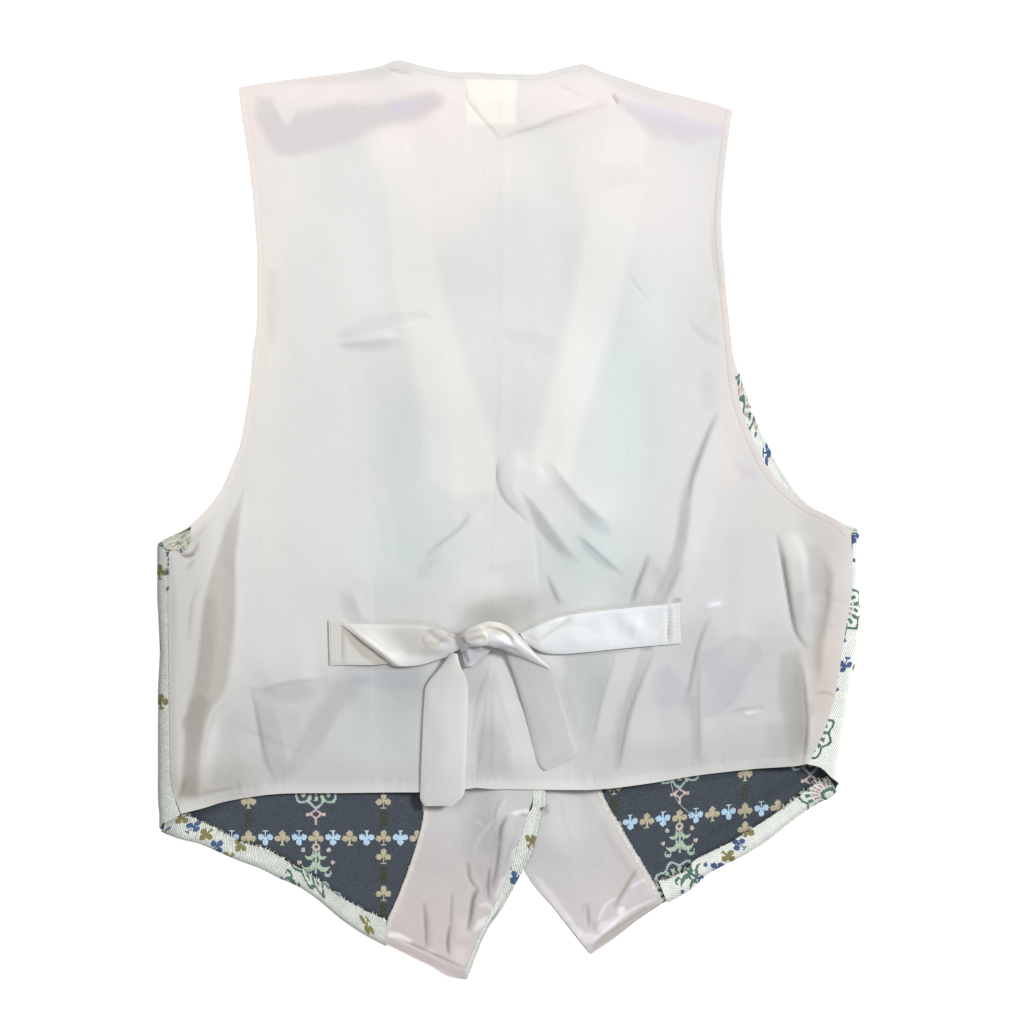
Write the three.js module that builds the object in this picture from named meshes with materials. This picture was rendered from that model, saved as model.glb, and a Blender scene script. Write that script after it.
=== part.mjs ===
// A waistcoat laid out flat, face down, as a three.js scene graph in millimetres, +Z up.
// The origin is the middle of its footprint, on the surface it lies on; +Y runs to the neck.
// From bottom to top lie the buttons, the two tapestry fronts with their turned hems and satin
// facings, the two halves of the satin back, and the tie belt that is knotted across the back.
// "left" and "right" are the wearer's: left is -X, because the back faces up.
import * as THREE from "three";

// --- Driving dimensions -------------------------------------------------------------------

const GAP = 0.3; // between two layers that touch or are sewn together
const TAPESTRY = 1.2; // thickness of the fronts
const SATIN = 1.0; // thickness of the back, facings, tie and label
const ROLL_RADIUS = 4.2; // of the fold in which each front turns up round the side
const SIDE_BAND = 28; // width of the finely divided band along a front's outer edge
const TURNED_EDGE = 10; // width of the tapestry turned in along the front opening

const BUTTON = { radius: 7.5, thickness: 2.2, spacing: 72, firstY: 14, count: 4 };
const BUTTON_CHANNEL = BUTTON.thickness + 0.7; // how far the fronts ride over the buttons
const CENTRE_FRONT = { topX: 0, topY: 45, slope: -0.046 }; // the line that the buttons lie on

const BELT_WIDTH = 31;
const KNOT = { x: -17, y: -83, length: 17, width: 13, height: 7.5 }; // semi-axes
const LABEL = { x: -12, top: 304, width: 32, length: 31 };

const BACK_LEVEL = 3.2; // underside of the back where it lies on one front and a facing
const BACK_TOP_EDGE = 1.6; // underside of the back at the shoulder seams and the neck
const BACK_SIDE_SEAM = 2 * ROLL_RADIUS - SATIN - 0.1; // its underside at the side seams
const FRONT_STACK = BUTTON_CHANNEL + 2 * (TAPESTRY + GAP + SATIN + GAP) + 0.8;

// --- Outlines: a row for each station down the body, [x, y] for each guide line -------------

// The fronts. "edge" is the neckline and front opening, "facing" the inner edge of the facing,
// "outer" the armhole and then the side seam with the cloth unrolled, so it passes the fold.
const FRONTS = {
  left: [
    { station: "shoulder", edge: [-77, 316], facing: [-113, 311], outer: [-185.5, 298] },
    { station: "upper chest", edge: [-66, 236], facing: [-92, 222], outer: [-178, 232] },
    { station: "chest", edge: [-43, 156], facing: [-70, 150], outer: [-174, 162] },
    { station: "lower armhole", edge: [-18, 91], facing: [-55, 76], outer: [-180, 76] },
    { station: "armhole turn", edge: [0, 45], facing: [-53, 20], outer: [-209, 4] },
    { station: "underarm", edge: [13, 5], facing: [-53, -30], outer: [-255.5, -18] },
    { station: "waist", edge: [19, -83], facing: [-54, -95], outer: [-255.5, -90] },
    { station: "below waist", edge: [25, -186], facing: [-56, -185], outer: [-256.5, -150] },
    { station: "above hem", edge: [8, -243], facing: [-69, -239], outer: [-259, -185] },
    {
      station: "hem",
      edge: [-30, -317.5],
      facing: [-87, -292.5],
      mid: [-144, -254],
      side: [-227, -219.5],
      outer: [-262, -203],
    },
  ],
  right: [
    { station: "shoulder", edge: [51, 313], facing: [91, 301.5], outer: [153.5, 284] },
    { station: "upper chest", edge: [47, 236], facing: [86, 222], outer: [148, 221] },
    { station: "chest", edge: [35, 156], facing: [75, 150], outer: [149, 162] },
    { station: "lower armhole", edge: [19, 91], facing: [62, 76], outer: [165, 83] },
    { station: "armhole turn", edge: [2, 45], facing: [57, 20], outer: [201, 15.5] },
    { station: "underarm", edge: [-11, 5], facing: [57, -30], outer: [252, -9.5] },
    { station: "waist", edge: [-7, -83], facing: [58, -95], outer: [257.5, -85] },
    { station: "below waist", edge: [-3, -186], facing: [63, -185], outer: [250, -135] },
    { station: "above hem", edge: [19, -254], facing: [86, -232], outer: [250, -156] },
    {
      station: "hem",
      edge: [57.5, -301],
      facing: [107, -263],
      mid: [160, -232.5],
      side: [215, -196],
      outer: [255, -168],
    },
  ],
};

// Where each front folds up round the side, and the side seam on top, as distances from x = 0.
const SIDES = {
  left: [
    { y: -20, fold: 243, seam: 235 },
    { y: -90, fold: 242.5, seam: 235.5 },
    { y: -150, fold: 243, seam: 234.5 },
    { y: -185, fold: 243, seam: 233 },
    { y: -203, fold: 242.5, seam: 229 },
  ],
  right: [
    { y: -8, fold: 241.5, seam: 236 },
    { y: -60, fold: 243, seam: 233 },
    { y: -93, fold: 240, seam: 228 },
    { y: -135, fold: 234, seam: 223 },
    { y: -168, fold: 229, seam: 206 },
  ],
};

// The halves of the back. "seam" is the centre back seam, "neck" and "flank" are guides
// between, and "outer" is the armhole and then the side seam.
const BACKS = {
  left: [
    {
      station: "top",
      seam: [-6.2, 308],
      neck: [-77, 317.5],
      flank: [-135, 308],
      outer: [-186.5, 299.5],
    },
    { station: "upper back", seam: [-6.2, 240], outer: [-178, 232] },
    { station: "shoulder blade", seam: [-6.2, 165], outer: [-174, 162] },
    { station: "lower armhole", seam: [-6.2, 85], outer: [-180, 76] },
    { station: "armhole turn", seam: [-6.2, 15], outer: [-203, 10] },
    { station: "underarm", seam: [-8, -30], outer: [-233, -20] },
    { station: "waist", seam: [-12.2, -95], outer: [-234.7, -90] },
    { station: "below waist", seam: [-18, -140], outer: [-233.5, -150] },
    {
      station: "hem",
      seam: [-24, -184],
      neck: [-92, -188.5],
      flank: [-165, -190],
      outer: [-227, -202],
    },
  ],
  right: [
    {
      station: "top",
      seam: [-5.8, 308],
      neck: [51.5, 314.5],
      flank: [103, 301],
      outer: [154, 285],
    },
    { station: "upper back", seam: [-5.8, 240], outer: [148, 221] },
    { station: "shoulder blade", seam: [-5.8, 165], outer: [149, 162] },
    { station: "lower armhole", seam: [-5.8, 85], outer: [159, 85] },
    { station: "armhole turn", seam: [-5.8, 15], outer: [184, 27] },
    { station: "underarm", seam: [-7.6, -30], outer: [235, -8] },
    { station: "waist", seam: [-11.8, -95], outer: [230, -75] },
    { station: "below waist", seam: [-17.6, -140], outer: [222, -135] },
    {
      station: "hem",
      seam: [-23.6, -184],
      neck: [50, -185.5],
      flank: [130, -177],
      outer: [204, -167.5],
    },
  ],
};

const CORNER_STATION = "underarm"; // where the armhole meets the side seam

// The largest folds of the back: ridges from one point to another.
const BACK_FOLDS = [
  { fold: "armhole to waist, right", from: [150, 70], to: [88, -70], width: 30, height: 3 },
  { fold: "waist to hem, right", from: [138, -70], to: [116, -165], width: 24, height: 2.2 },
  { fold: "side, right", from: [186, -25], to: [207, -150], width: 26, height: 2.4 },
  { fold: "under the neckline", from: [-2, 34], to: [60, -36], width: 26, height: 2.4 },
  { fold: "centre left", from: [-25, 8], to: [-66, -40], width: 22, height: 1.6 },
  { fold: "side, left", from: [-186, 12], to: [-202, -128], width: 30, height: 2.6 },
  { fold: "waist to hem, left", from: [-176, -112], to: [-161, -180], width: 24, height: 1.8 },
];

// The tie belt: half its width at each place along it, and how far it is lifted off the back.
const BELT = {
  strap_left: [
    { x: -122.5, y: -84, half: BELT_WIDTH / 2, lift: 0 },
    { x: -100, y: -85, half: 14.5, lift: 0.3 },
    { x: -70, y: -86, half: 13.5, lift: 1 },
    { x: -48, y: -85, half: 9.5, lift: 2.5 },
    { x: -35.5, y: -83.5, half: 6, lift: 4 },
  ],
  strap_right: [
    { x: 118, y: -70.5, half: 14.6, lift: 0.6 },
    { x: 90, y: -73, half: 14, lift: 0.6 },
    { x: 50, y: -77, half: 13.5, lift: 0.6 },
    { x: 20, y: -80, half: 10, lift: 0.8 },
    { x: 3, y: -82, half: 6, lift: 1.5 },
  ],
  tail_left: [
    { x: -34, y: -99, half: 6, lift: 1.5 },
    { x: -42, y: -118, half: 15, lift: 1 },
    { x: -43.5, y: -150, half: BELT_WIDTH / 2, lift: 0.1 },
    { x: -44.5, y: -180, half: BELT_WIDTH / 2, lift: 0 },
    { x: -45, y: -196, half: 11, lift: 0 },
  ],
  tail_right: [
    { x: 6.5, y: -79.5, half: 8, lift: 6.5 },
    { x: 14, y: -86, half: 12, lift: 5.8 },
    { x: 18, y: -104, half: 12, lift: 3 },
    { x: 26, y: -132, half: 13.5, lift: 0.2 },
    { x: 34.5, y: -162, half: 14, lift: 0 },
  ],
};

const SATIN_FINISH = { color: 0xd9d7d3, roughness: 0.42, metalness: 0 };
const FACING_FINISH = { color: 0xcfc8c6, roughness: 0.38, metalness: 0 };
const TAPESTRY_FINISH = { color: 0xdfe2d6, roughness: 0.85, metalness: 0 };
const LABEL_FINISH = { color: 0xf4f1e4, roughness: 0.7, metalness: 0 };
const BUTTON_FINISH = { color: 0xe9e4d6, roughness: 0.3, metalness: 0 };

// --- Small tools ----------------------------------------------------------------------------

const { smoothstep, clamp, lerp } = THREE.MathUtils;
const mix = (a, b, t) => [lerp(a[0], b[0], t), lerp(a[1], b[1], t)];
const signOf = (side) => (side === "left" ? -1 : 1);

// Linear interpolation in a table that is sorted by its falling column `key`.
function lookUp(rows, key, value, wanted) {
  if (value >= rows[0][key]) return rows[0][wanted];
  for (let i = 1; i < rows.length; i += 1) {
    const above = rows[i - 1];
    const below = rows[i];
    if (value >= below[key]) {
      const t = (above[key] - value) / (above[key] - below[key]);
      return lerp(above[wanted], below[wanted], t);
    }
  }
  return rows.at(-1)[wanted];
}

// A guide line: a smooth curve through one column of a station table, broken at the corner
// station if `cornered`. It is a function of the station number, whole or between two.
function guideLine(points, cornerIndex) {
  const cuts = cornerIndex > 0 ? [0, cornerIndex, points.length - 1] : [0, points.length - 1];
  const runs = cuts.slice(1).map((end, i) => ({
    start: cuts[i],
    end,
    curve: new THREE.SplineCurve(
      points.slice(cuts[i], end + 1).map(([x, y]) => new THREE.Vector2(x, y)),
    ),
  }));
  return (station) => {
    const run = runs.find((r) => station <= r.end) ?? runs.at(-1);
    const p = run.curve.getPoint((station - run.start) / (run.end - run.start));
    return [p.x, p.y];
  };
}

// The points of a panel between guide lines. `spans` says how many columns lie between one
// guide and the next; each station is divided into `rowsPerStation` rows.
function panelGrid(guides, spans, stationCount, rowsPerStation) {
  const rows = [];
  for (let r = 0; r <= (stationCount - 1) * rowsPerStation; r += 1) {
    const at = guides.map((guide) => guide(r / rowsPerStation));
    const row = [at[0]];
    spans.forEach((columns, i) => {
      for (let c = 1; c <= columns; c += 1) row.push(mix(at[i], at[i + 1], c / columns));
    });
    rows.push(row);
  }
  return rows;
}

// A closed wall between two grids of points, `under` and `over`, of the same size.
function wall(under, over) {
  const rows = under.length;
  const columns = under[0].length;
  const positions = [];
  [under, over].forEach((grid) => grid.forEach((row) => row.forEach((p) => positions.push(...p))));
  const at = (layer, r, c) => layer * rows * columns + r * columns + c;
  const index = [];
  const quad = (a, b, c, d) => index.push(a, b, c, a, c, d);
  for (let r = 0; r + 1 < rows; r += 1) {
    for (let c = 0; c + 1 < columns; c += 1) {
      quad(at(1, r, c), at(1, r + 1, c), at(1, r + 1, c + 1), at(1, r, c + 1));
      quad(at(0, r, c), at(0, r, c + 1), at(0, r + 1, c + 1), at(0, r + 1, c));
    }
    quad(at(0, r, 0), at(0, r + 1, 0), at(1, r + 1, 0), at(1, r, 0));
    const last = columns - 1;
    quad(at(0, r + 1, last), at(0, r, last), at(1, r, last), at(1, r + 1, last));
  }
  for (let c = 0; c + 1 < columns; c += 1) {
    quad(at(0, 0, c + 1), at(0, 0, c), at(1, 0, c), at(1, 0, c + 1));
    const last = rows - 1;
    quad(at(0, last, c), at(0, last, c + 1), at(1, last, c + 1), at(1, last, c));
  }
  const geometry = new THREE.BufferGeometry();
  geometry.setAttribute("position", new THREE.Float32BufferAttribute(positions, 3));
  geometry.setIndex(index);
  return geometry;
}

// Turns a closed surface to face out, if it was built facing in.
function facingOut(geometry) {
  const p = geometry.attributes.position;
  const index = geometry.index;
  const corner = (i) => new THREE.Vector3().fromBufferAttribute(p, index.getX(i));
  let volume = 0;
  for (let i = 0; i < index.count; i += 3) {
    volume += corner(i).dot(corner(i + 1).cross(corner(i + 2)));
  }
  if (volume < 0) {
    for (let i = 0; i < index.count; i += 3) {
      const second = index.getX(i + 1);
      index.setX(i + 1, index.getX(i + 2));
      index.setX(i + 2, second);
    }
  }
  geometry.computeVertexNormals();
  return geometry;
}

function piece(name, geometry, finish) {
  const mesh = new THREE.Mesh(facingOut(geometry), new THREE.MeshStandardMaterial(finish));
  mesh.name = name;
  return mesh;
}

// --- Fronts ---------------------------------------------------------------------------------

const centreFrontX = (y) => CENTRE_FRONT.topX + CENTRE_FRONT.slope * (y - CENTRE_FRONT.topY);
const stationOf = (rows) => rows.findIndex((row) => row.station === CORNER_STATION);

// How far the right front is lifted, so that it passes over the buttons.
function rightFrontLift(x, y) {
  const plateau = 14;
  const reach = 42;
  const lastButtonY = BUTTON.firstY - (BUTTON.count - 1) * BUTTON.spacing;
  const across = 1 - smoothstep(Math.abs(x - centreFrontX(y)), plateau, reach);
  const above = 1 - smoothstep(y, BUTTON.firstY + plateau, BUTTON.firstY + 60);
  const below = smoothstep(y, lastButtonY - 40, lastButtonY - plateau);
  return BUTTON_CHANNEL * across * above * below;
}

// The x of the right front's own edge at a height, found on its guide line.
const rightEdge = guideLine(FRONTS.right.map((row) => row.edge), 0);
const rightEdgeByHeight = Array.from({ length: 91 }, (_, i) => {
  const [x, y] = rightEdge(i / 10);
  return { x, y };
});

// How far the left front is lifted, so that it lies over the right one and its facing.
function leftFrontLift(x, y) {
  const easeOver = 40;
  const beyond = lookUp(rightEdgeByHeight, "y", y, "x") - x;
  const layers = TAPESTRY + GAP + SATIN + GAP + 0.6;
  return (rightFrontLift(x, y) + layers) * (1 - smoothstep(beyond, 3, easeOver));
}

const LIFTS = { left: leftFrontLift, right: rightFrontLift };

// How far from x = 0 the side seam lies when the fold in front of it is unrolled.
function unrolledSeam(side, y) {
  const start = lookUp(SIDES[side], "y", y, "fold") - ROLL_RADIUS;
  return 2 * start + Math.PI * ROLL_RADIUS - lookUp(SIDES[side], "y", y, "seam");
}

// Rolls a point of the unrolled cloth round the side fold. `depth` is how far it lies inside
// the outer face of the cloth.
function rolled(side, [x, y], depth) {
  const s = signOf(side);
  const start = lookUp(SIDES[side], "y", y, "fold") - ROLL_RADIUS;
  const past = s * x - start;
  if (past <= 0) return [x, y, LIFTS[side](x, y) + depth];
  const angle = Math.min(past / ROLL_RADIUS, Math.PI);
  const back = Math.max(past - Math.PI * ROLL_RADIUS, 0);
  const radius = ROLL_RADIUS - depth;
  return [
    s * (start - back + radius * Math.sin(angle)),
    y,
    ROLL_RADIUS - radius * Math.cos(angle),
  ];
}

const FRONT_ROWS_PER_STATION = 3;
const FRONT_SPANS = [1, 2, 2, 2, 9]; // edge, turned edge, facing, mid, side, outer
const FACING_COLUMNS = [1, 3]; // the facing runs from the turned edge to its own edge
const HEM_COLUMNS = [3, 13]; // the hem shows from the facing to just past the side fold
const ARMHOLE_HEM_COLUMNS = 3; // counted in from the outer edge
const HEM_DEPTH = 12;

function frontGrid(side) {
  const s = signOf(side);
  const table = FRONTS[side].map((row) => {
    const outer = row.outer;
    const sideGuide = row.side ?? [outer[0] - s * SIDE_BAND, outer[1]];
    const taper = row.station === "hem" ? 0.2 : 1;
    const inward = [row.edge[0] + s * TURNED_EDGE * taper, row.edge[1]];
    return [row.edge, inward, row.facing, row.mid ?? mix(row.facing, sideGuide, 0.5), sideGuide, outer];
  });
  const corner = stationOf(FRONTS[side]);
  const guides = table[0].map((_, g) =>
    guideLine(table.map((row) => row[g]), g >= table[0].length - 2 ? corner : 0),
  );
  const sewnEdge = guides.at(-1);
  guides[guides.length - 1] = (station) => {
    const [x, y] = sewnEdge(station);
    return station < corner ? [x, y] : [s * unrolledSeam(side, y), y];
  };
  const grid = panelGrid(guides, FRONT_SPANS, table.length, FRONT_ROWS_PER_STATION);
  // One more row, a hem's depth above the lower edge, so that the hem can be made from it.
  const edgeRow = grid.at(-1);
  const rowAbove = grid.at(-2);
  const hemRow = edgeRow.map((p, c) => {
    const length = Math.hypot(rowAbove[c][0] - p[0], rowAbove[c][1] - p[1]);
    return mix(p, rowAbove[c], HEM_DEPTH / length);
  });
  grid.splice(-1, 0, hemRow);
  return grid;
}

// Layers made from a part of a front's own points, `rise` above its outer face.
function layerOn(side, grid, rowRange, columnRange, rise, thickness) {
  const part = grid
    .slice(rowRange[0], rowRange[1] + 1)
    .map((row) => row.slice(columnRange[0], columnRange[1] + 1));
  const moved = (depth) => part.map((row) => row.map((p) => rolled(side, p, depth)));
  return wall(moved(rise), moved(rise + thickness));
}

// Draws a strip's end columns and rows in a little, so that strips clear their neighbours.
function trimmed(grid, columnRange, inset) {
  return grid.map((row) =>
    row.map((p, c) => {
      if (c === columnRange[0]) return mix(p, row[c + 1], inset);
      if (c === columnRange[1]) return mix(p, row[c - 1], inset);
      return p;
    }),
  );
}

function frontPieces(side) {
  const grid = frontGrid(side);
  const lastRow = grid.length - 1;
  const lastColumn = grid[0].length - 1;
  const foldRow = (stationOf(FRONTS[side]) - 1) * FRONT_ROWS_PER_STATION + 1;
  const onTop = TAPESTRY + GAP;
  const facing = trimmed(grid, FACING_COLUMNS, 0.04);
  const armholeFrom = lastColumn - ARMHOLE_HEM_COLUMNS;
  const pieces = [
    piece(`front_${side}`, layerOn(side, grid, [0, lastRow], [0, lastColumn], 0, TAPESTRY), TAPESTRY_FINISH),
    piece(`facing_${side}`, layerOn(side, facing, [1, lastRow], FACING_COLUMNS, onTop, SATIN), FACING_FINISH),
    piece(
      `hem_${side}`,
      layerOn(side, trimmed(grid, HEM_COLUMNS, 0.04), [lastRow - 1, lastRow], HEM_COLUMNS, onTop + 0.1, SATIN),
      TAPESTRY_FINISH,
    ),
    piece(
      `armhole_hem_${side}`,
      layerOn(side, grid, [1, foldRow], [armholeFrom, lastColumn], onTop, SATIN),
      TAPESTRY_FINISH,
    ),
  ];
  return pieces;
}

// The tapestry turned in along the left front's opening, which shows beside its facing.
function turnedEdge() {
  const grid = trimmed(frontGrid("left"), [0, 1], 0.04);
  const fromRow = stationOf(FRONTS.left) * FRONT_ROWS_PER_STATION;
  const geometry = layerOn("left", grid, [fromRow, grid.length - 1], [0, 1], TAPESTRY + GAP, SATIN);
  return piece("turned_edge_left", geometry, TAPESTRY_FINISH);
}

// --- Back -----------------------------------------------------------------------------------

const TOP_EDGE = [
  ...BACKS.right.slice(0, 1).flatMap((row) => [row.outer, row.flank, row.neck, row.seam]),
  ...BACKS.left.slice(0, 1).flatMap((row) => [row.seam, row.neck, row.flank, row.outer]),
].map(([x, y]) => ({ x, y }));

function foldHeight({ from, to, width, height }, x, y) {
  const along = [to[0] - from[0], to[1] - from[1]];
  const length = Math.hypot(...along);
  const t = ((x - from[0]) * along[0] + (y - from[1]) * along[1]) / length ** 2;
  const off = ((x - from[0]) * along[1] - (y - from[1]) * along[0]) / length;
  const across = 1 - smoothstep(Math.abs(off), 0, width / 2);
  const ends = smoothstep(t, -0.1, 0.25) * (1 - smoothstep(t, 0.75, 1.1));
  return height * across * ends;
}

// The underside of the back: it lies on the fronts, rides over their overlap in the middle and
// over the rolled sides, and comes down to the shoulder seams and the neck.
function backUnder(x, y) {
  const side = x < 0 ? "left" : "right";
  const inFromSeam = lookUp(SIDES[side], "y", y, "seam") - Math.abs(x);
  const atSide = (1 - smoothstep(inFromSeam, 0, 45)) * (1 - smoothstep(y, -15, 50));
  const atCentre =
    (1 - smoothstep(Math.abs(x - centreFrontX(y)), 36, 100)) * (1 - smoothstep(y, 70, 160));
  const folds = BACK_FOLDS.reduce((sum, fold) => sum + foldHeight(fold, x, y), 0);
  const belowTop = lookUp(TOP_EDGE, "x", x, "y") - y;
  const level =
    BACK_LEVEL +
    (BACK_SIDE_SEAM - BACK_LEVEL) * atSide +
    (FRONT_STACK - BACK_LEVEL) * atCentre +
    folds * (1 - atSide);
  return lerp(BACK_TOP_EDGE, level, smoothstep(belowTop, 0, 22));
}

const BACK_SPANS = [3, 4, 5]; // seam, neck, flank, outer
const BACK_ROWS_PER_STATION = 3;

function backHalf(side) {
  const table = BACKS[side].map(({ seam, neck, flank, outer }) => [
    seam,
    neck ?? mix(seam, outer, 0.36),
    flank ?? mix(seam, outer, 0.7),
    outer,
  ]);
  const corner = stationOf(BACKS[side]);
  const guides = table[0].map((_, g) =>
    guideLine(table.map((row) => row[g]), g === table[0].length - 1 ? corner : 0),
  );
  const sewnEdge = guides.at(-1);
  guides[guides.length - 1] = (station) => {
    const [x, y] = sewnEdge(station);
    const seam = lookUp(SIDES[side], "y", y, "seam") - GAP;
    return station < corner ? [x, y] : [signOf(side) * seam, y];
  };
  const grid = panelGrid(guides, BACK_SPANS, table.length, BACK_ROWS_PER_STATION);
  const moved = (rise) => grid.map((row) => row.map(([x, y]) => [x, y, backUnder(x, y) + rise]));
  return piece(`back_${side}`, wall(moved(0), moved(SATIN)), SATIN_FINISH);
}

// A blank label sewn inside the back neck.
function neckLabel() {
  const columns = 4;
  const rows = 4;
  const points = (depth) =>
    Array.from({ length: rows + 1 }, (_, r) =>
      Array.from({ length: columns + 1 }, (_, c) => {
        const x = LABEL.x + LABEL.width * (c / columns - 0.5);
        const y = LABEL.top - (LABEL.length * r) / rows;
        return [x, y, backUnder(x, y) - depth];
      }),
    );
  return piece("neck_label", wall(points(GAP + 0.1 + SATIN), points(GAP + 0.1)), LABEL_FINISH);
}

// --- Tie belt -------------------------------------------------------------------------------

// One stretch of the belt, a flat ribbon along its row of places, lying on the back.
function beltStretch(name) {
  const places = BELT[name];
  const stepsPerPlace = 3;
  const columns = 4;
  const along = (key) =>
    new THREE.SplineCurve(places.map((place, i) => new THREE.Vector2(i, place[key])));
  const curves = { x: along("x"), y: along("y"), half: along("half"), lift: along("lift") };
  const valueAt = (key, t) => curves[key].getPoint(t).y;
  const steps = (places.length - 1) * stepsPerPlace;
  const points = (rise) =>
    Array.from({ length: steps + 1 }, (_, r) => {
      const t = r / steps;
      const step = 0.5 / steps;
      const [before, after] = [clamp(t - step, 0, 1), clamp(t + step, 0, 1)];
      const tangent = new THREE.Vector2(
        valueAt("x", after) - valueAt("x", before),
        valueAt("y", after) - valueAt("y", before),
      ).normalize();
      return Array.from({ length: columns + 1 }, (_, c) => {
        const off = valueAt("half", t) * ((2 * c) / columns - 1);
        const x = valueAt("x", t) - tangent.y * off;
        const y = valueAt("y", t) + tangent.x * off;
        return [x, y, backUnder(x, y) + SATIN + GAP + 0.4 + valueAt("lift", t) + rise];
      });
    });
  return piece(`belt_${name}`, wall(points(0), points(SATIN)), SATIN_FINISH);
}

// The knot: a rounded lump that the four stretches run into.
function knot() {
  const geometry = new THREE.SphereGeometry(1, 18, 12);
  geometry.rotateX(Math.PI / 2);
  geometry.scale(KNOT.length, KNOT.width, KNOT.height);
  const mesh = new THREE.Mesh(geometry, new THREE.MeshStandardMaterial(SATIN_FINISH));
  mesh.name = "belt_knot";
  const seat = backUnder(KNOT.x, KNOT.y) + SATIN + GAP;
  mesh.position.set(KNOT.x, KNOT.y, seat + KNOT.height);
  return mesh;
}

// --- Buttons --------------------------------------------------------------------------------

function button(number) {
  const { radius, thickness, spacing, firstY } = BUTTON;
  const rim = 0.5;
  const profile = [
    [0, 0],
    [radius - rim, 0],
    [radius, rim],
    [radius, thickness - rim],
    [radius - rim, thickness],
    [0, thickness],
  ].map(([r, z]) => new THREE.Vector2(r, z));
  const geometry = new THREE.LatheGeometry(profile, 24);
  geometry.rotateX(Math.PI / 2);
  const mesh = new THREE.Mesh(geometry, new THREE.MeshStandardMaterial(BUTTON_FINISH));
  mesh.name = `button_${number}`;
  const y = firstY - (number - 1) * spacing;
  mesh.position.set(centreFrontX(y), y, 0);
  return mesh;
}

// --- The whole garment ------------------------------------------------------------------------

const waistcoat = new THREE.Group();
waistcoat.name = "waistcoat";
waistcoat.add(...frontPieces("left"), ...frontPieces("right"), turnedEdge());
waistcoat.add(backHalf("left"), backHalf("right"), neckLabel());
waistcoat.add(...Object.keys(BELT).map(beltStretch), knot());
for (let number = 1; number <= BUTTON.count; number += 1) waistcoat.add(button(number));

export default waistcoat;
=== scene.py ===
"""The looks of a tapestry waistcoat that lies flat, face down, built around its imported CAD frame.

Lengths are in millimetres, in the frame's axes, until a mesh is made from them in metres.
+Y runs to the neck, +X to the wearer's right, and z = 0 is the surface that it lies on.
"""

import math

import bpy
import numpy as np
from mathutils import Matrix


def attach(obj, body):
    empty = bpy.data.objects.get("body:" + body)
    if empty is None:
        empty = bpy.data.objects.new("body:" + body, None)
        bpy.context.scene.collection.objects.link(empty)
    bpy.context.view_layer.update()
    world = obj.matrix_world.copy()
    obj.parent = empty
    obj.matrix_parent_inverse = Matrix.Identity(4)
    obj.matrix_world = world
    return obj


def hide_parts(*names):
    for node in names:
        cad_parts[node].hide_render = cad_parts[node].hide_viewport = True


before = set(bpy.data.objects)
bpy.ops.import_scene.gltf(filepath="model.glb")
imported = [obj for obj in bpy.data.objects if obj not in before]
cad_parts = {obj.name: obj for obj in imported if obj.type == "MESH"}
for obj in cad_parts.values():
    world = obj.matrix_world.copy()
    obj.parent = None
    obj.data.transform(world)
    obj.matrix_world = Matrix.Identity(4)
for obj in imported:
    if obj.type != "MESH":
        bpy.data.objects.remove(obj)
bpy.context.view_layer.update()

MM = 0.001
TAPESTRY = 1.1  # thickness of the fronts' cloth
SATIN = 0.5  # thickness of the back, facings and belt
GAP = 0.25  # between layers that lie on each other
ROLL_RADIUS = 4.2  # of the fold in which each front turns up round the side
CLOTH_UNIT = 100  # millimetres of cloth to a unit of its UV map
FADE = 0.3  # the share of a crease over which each of its ends dies away

# --- Curves and grids -----------------------------------------------------------------------


def evenly(line, count):
    """count points, evenly spaced along a line of points."""
    reach = np.r_[0, np.cumsum(np.linalg.norm(np.diff(line, axis=0), axis=1))]
    at = np.linspace(0, reach[-1], count)
    return np.stack([np.interp(at, reach, line[:, k]) for k in range(line.shape[1])], 1)


def through(points, steps):
    """A smooth curve through points, with the same number of steps between each two."""
    p = np.array(points, float)
    p = np.vstack([2 * p[0] - p[1], p, 2 * p[-1] - p[-2]])
    t = np.linspace(0, 1, steps, endpoint=False)[:, None]
    parts = []
    for a, b, c, d in zip(p, p[1:], p[2:], p[3:]):
        curve = (c - a) * t + (2 * a - 5 * b + 4 * c - d) * t**2
        parts.append(b + 0.5 * (curve + (3 * b - a - 3 * c + d) * t**3))
    return np.vstack(parts + [p[-2:-1]])


def smooth_line(points, count):
    """count points, evenly spaced on a smooth curve through points."""
    return evenly(through(points, 12), count)


def border(*runs):
    """One border of a panel, from runs of (points, steps) that meet in corners."""
    lines = [smooth_line(points, steps + 1) for points, steps in runs]
    return np.vstack([lines[0]] + [line[1:] for line in lines[1:]])


def filled(top, bottom, left, right):
    """The grid of points between four borders, its rows running from left to right."""
    v = np.linspace(0, 1, len(left))[:, None, None]
    u = np.linspace(0, 1, len(top))[None, :, None]
    rows = (1 - v) * top[None] + v * bottom[None]
    columns = (1 - u) * left[:, None] + u * right[:, None]
    corners = (1 - v) * ((1 - u) * top[0] + u * top[-1]) + v * ((1 - u) * bottom[0] + u * bottom[-1])
    return rows + columns - corners


def smoothstep(value, low, high):
    """0 at low, 1 at high, with a smooth rise between them."""
    t = np.clip((value - low) / (high - low), 0, 1)
    return t * t * (3 - 2 * t)


def nearest(line, x, y):
    """How far each place is from a line, positive on its left, and how far along it, 0 to 1."""
    best = np.full(x.shape, 1e9)
    side = np.ones(x.shape)
    along = np.zeros(x.shape)
    steps = len(line) - 1
    for i, (a, b) in enumerate(zip(line[:-1], line[1:])):
        d = b - a
        t = np.clip(((x - a[0]) * d[0] + (y - a[1]) * d[1]) / max(d @ d, 1e-9), 0, 1)
        ox, oy = x - a[0] - t * d[0], y - a[1] - t * d[1]
        gap = ox * ox + oy * oy
        closer = gap < best
        best = np.where(closer, gap, best)
        side = np.where(closer, np.sign(d[0] * oy - d[1] * ox), side)
        along = np.where(closer, (i + t) / steps, along)
    return np.sqrt(best) * side, along


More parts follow.
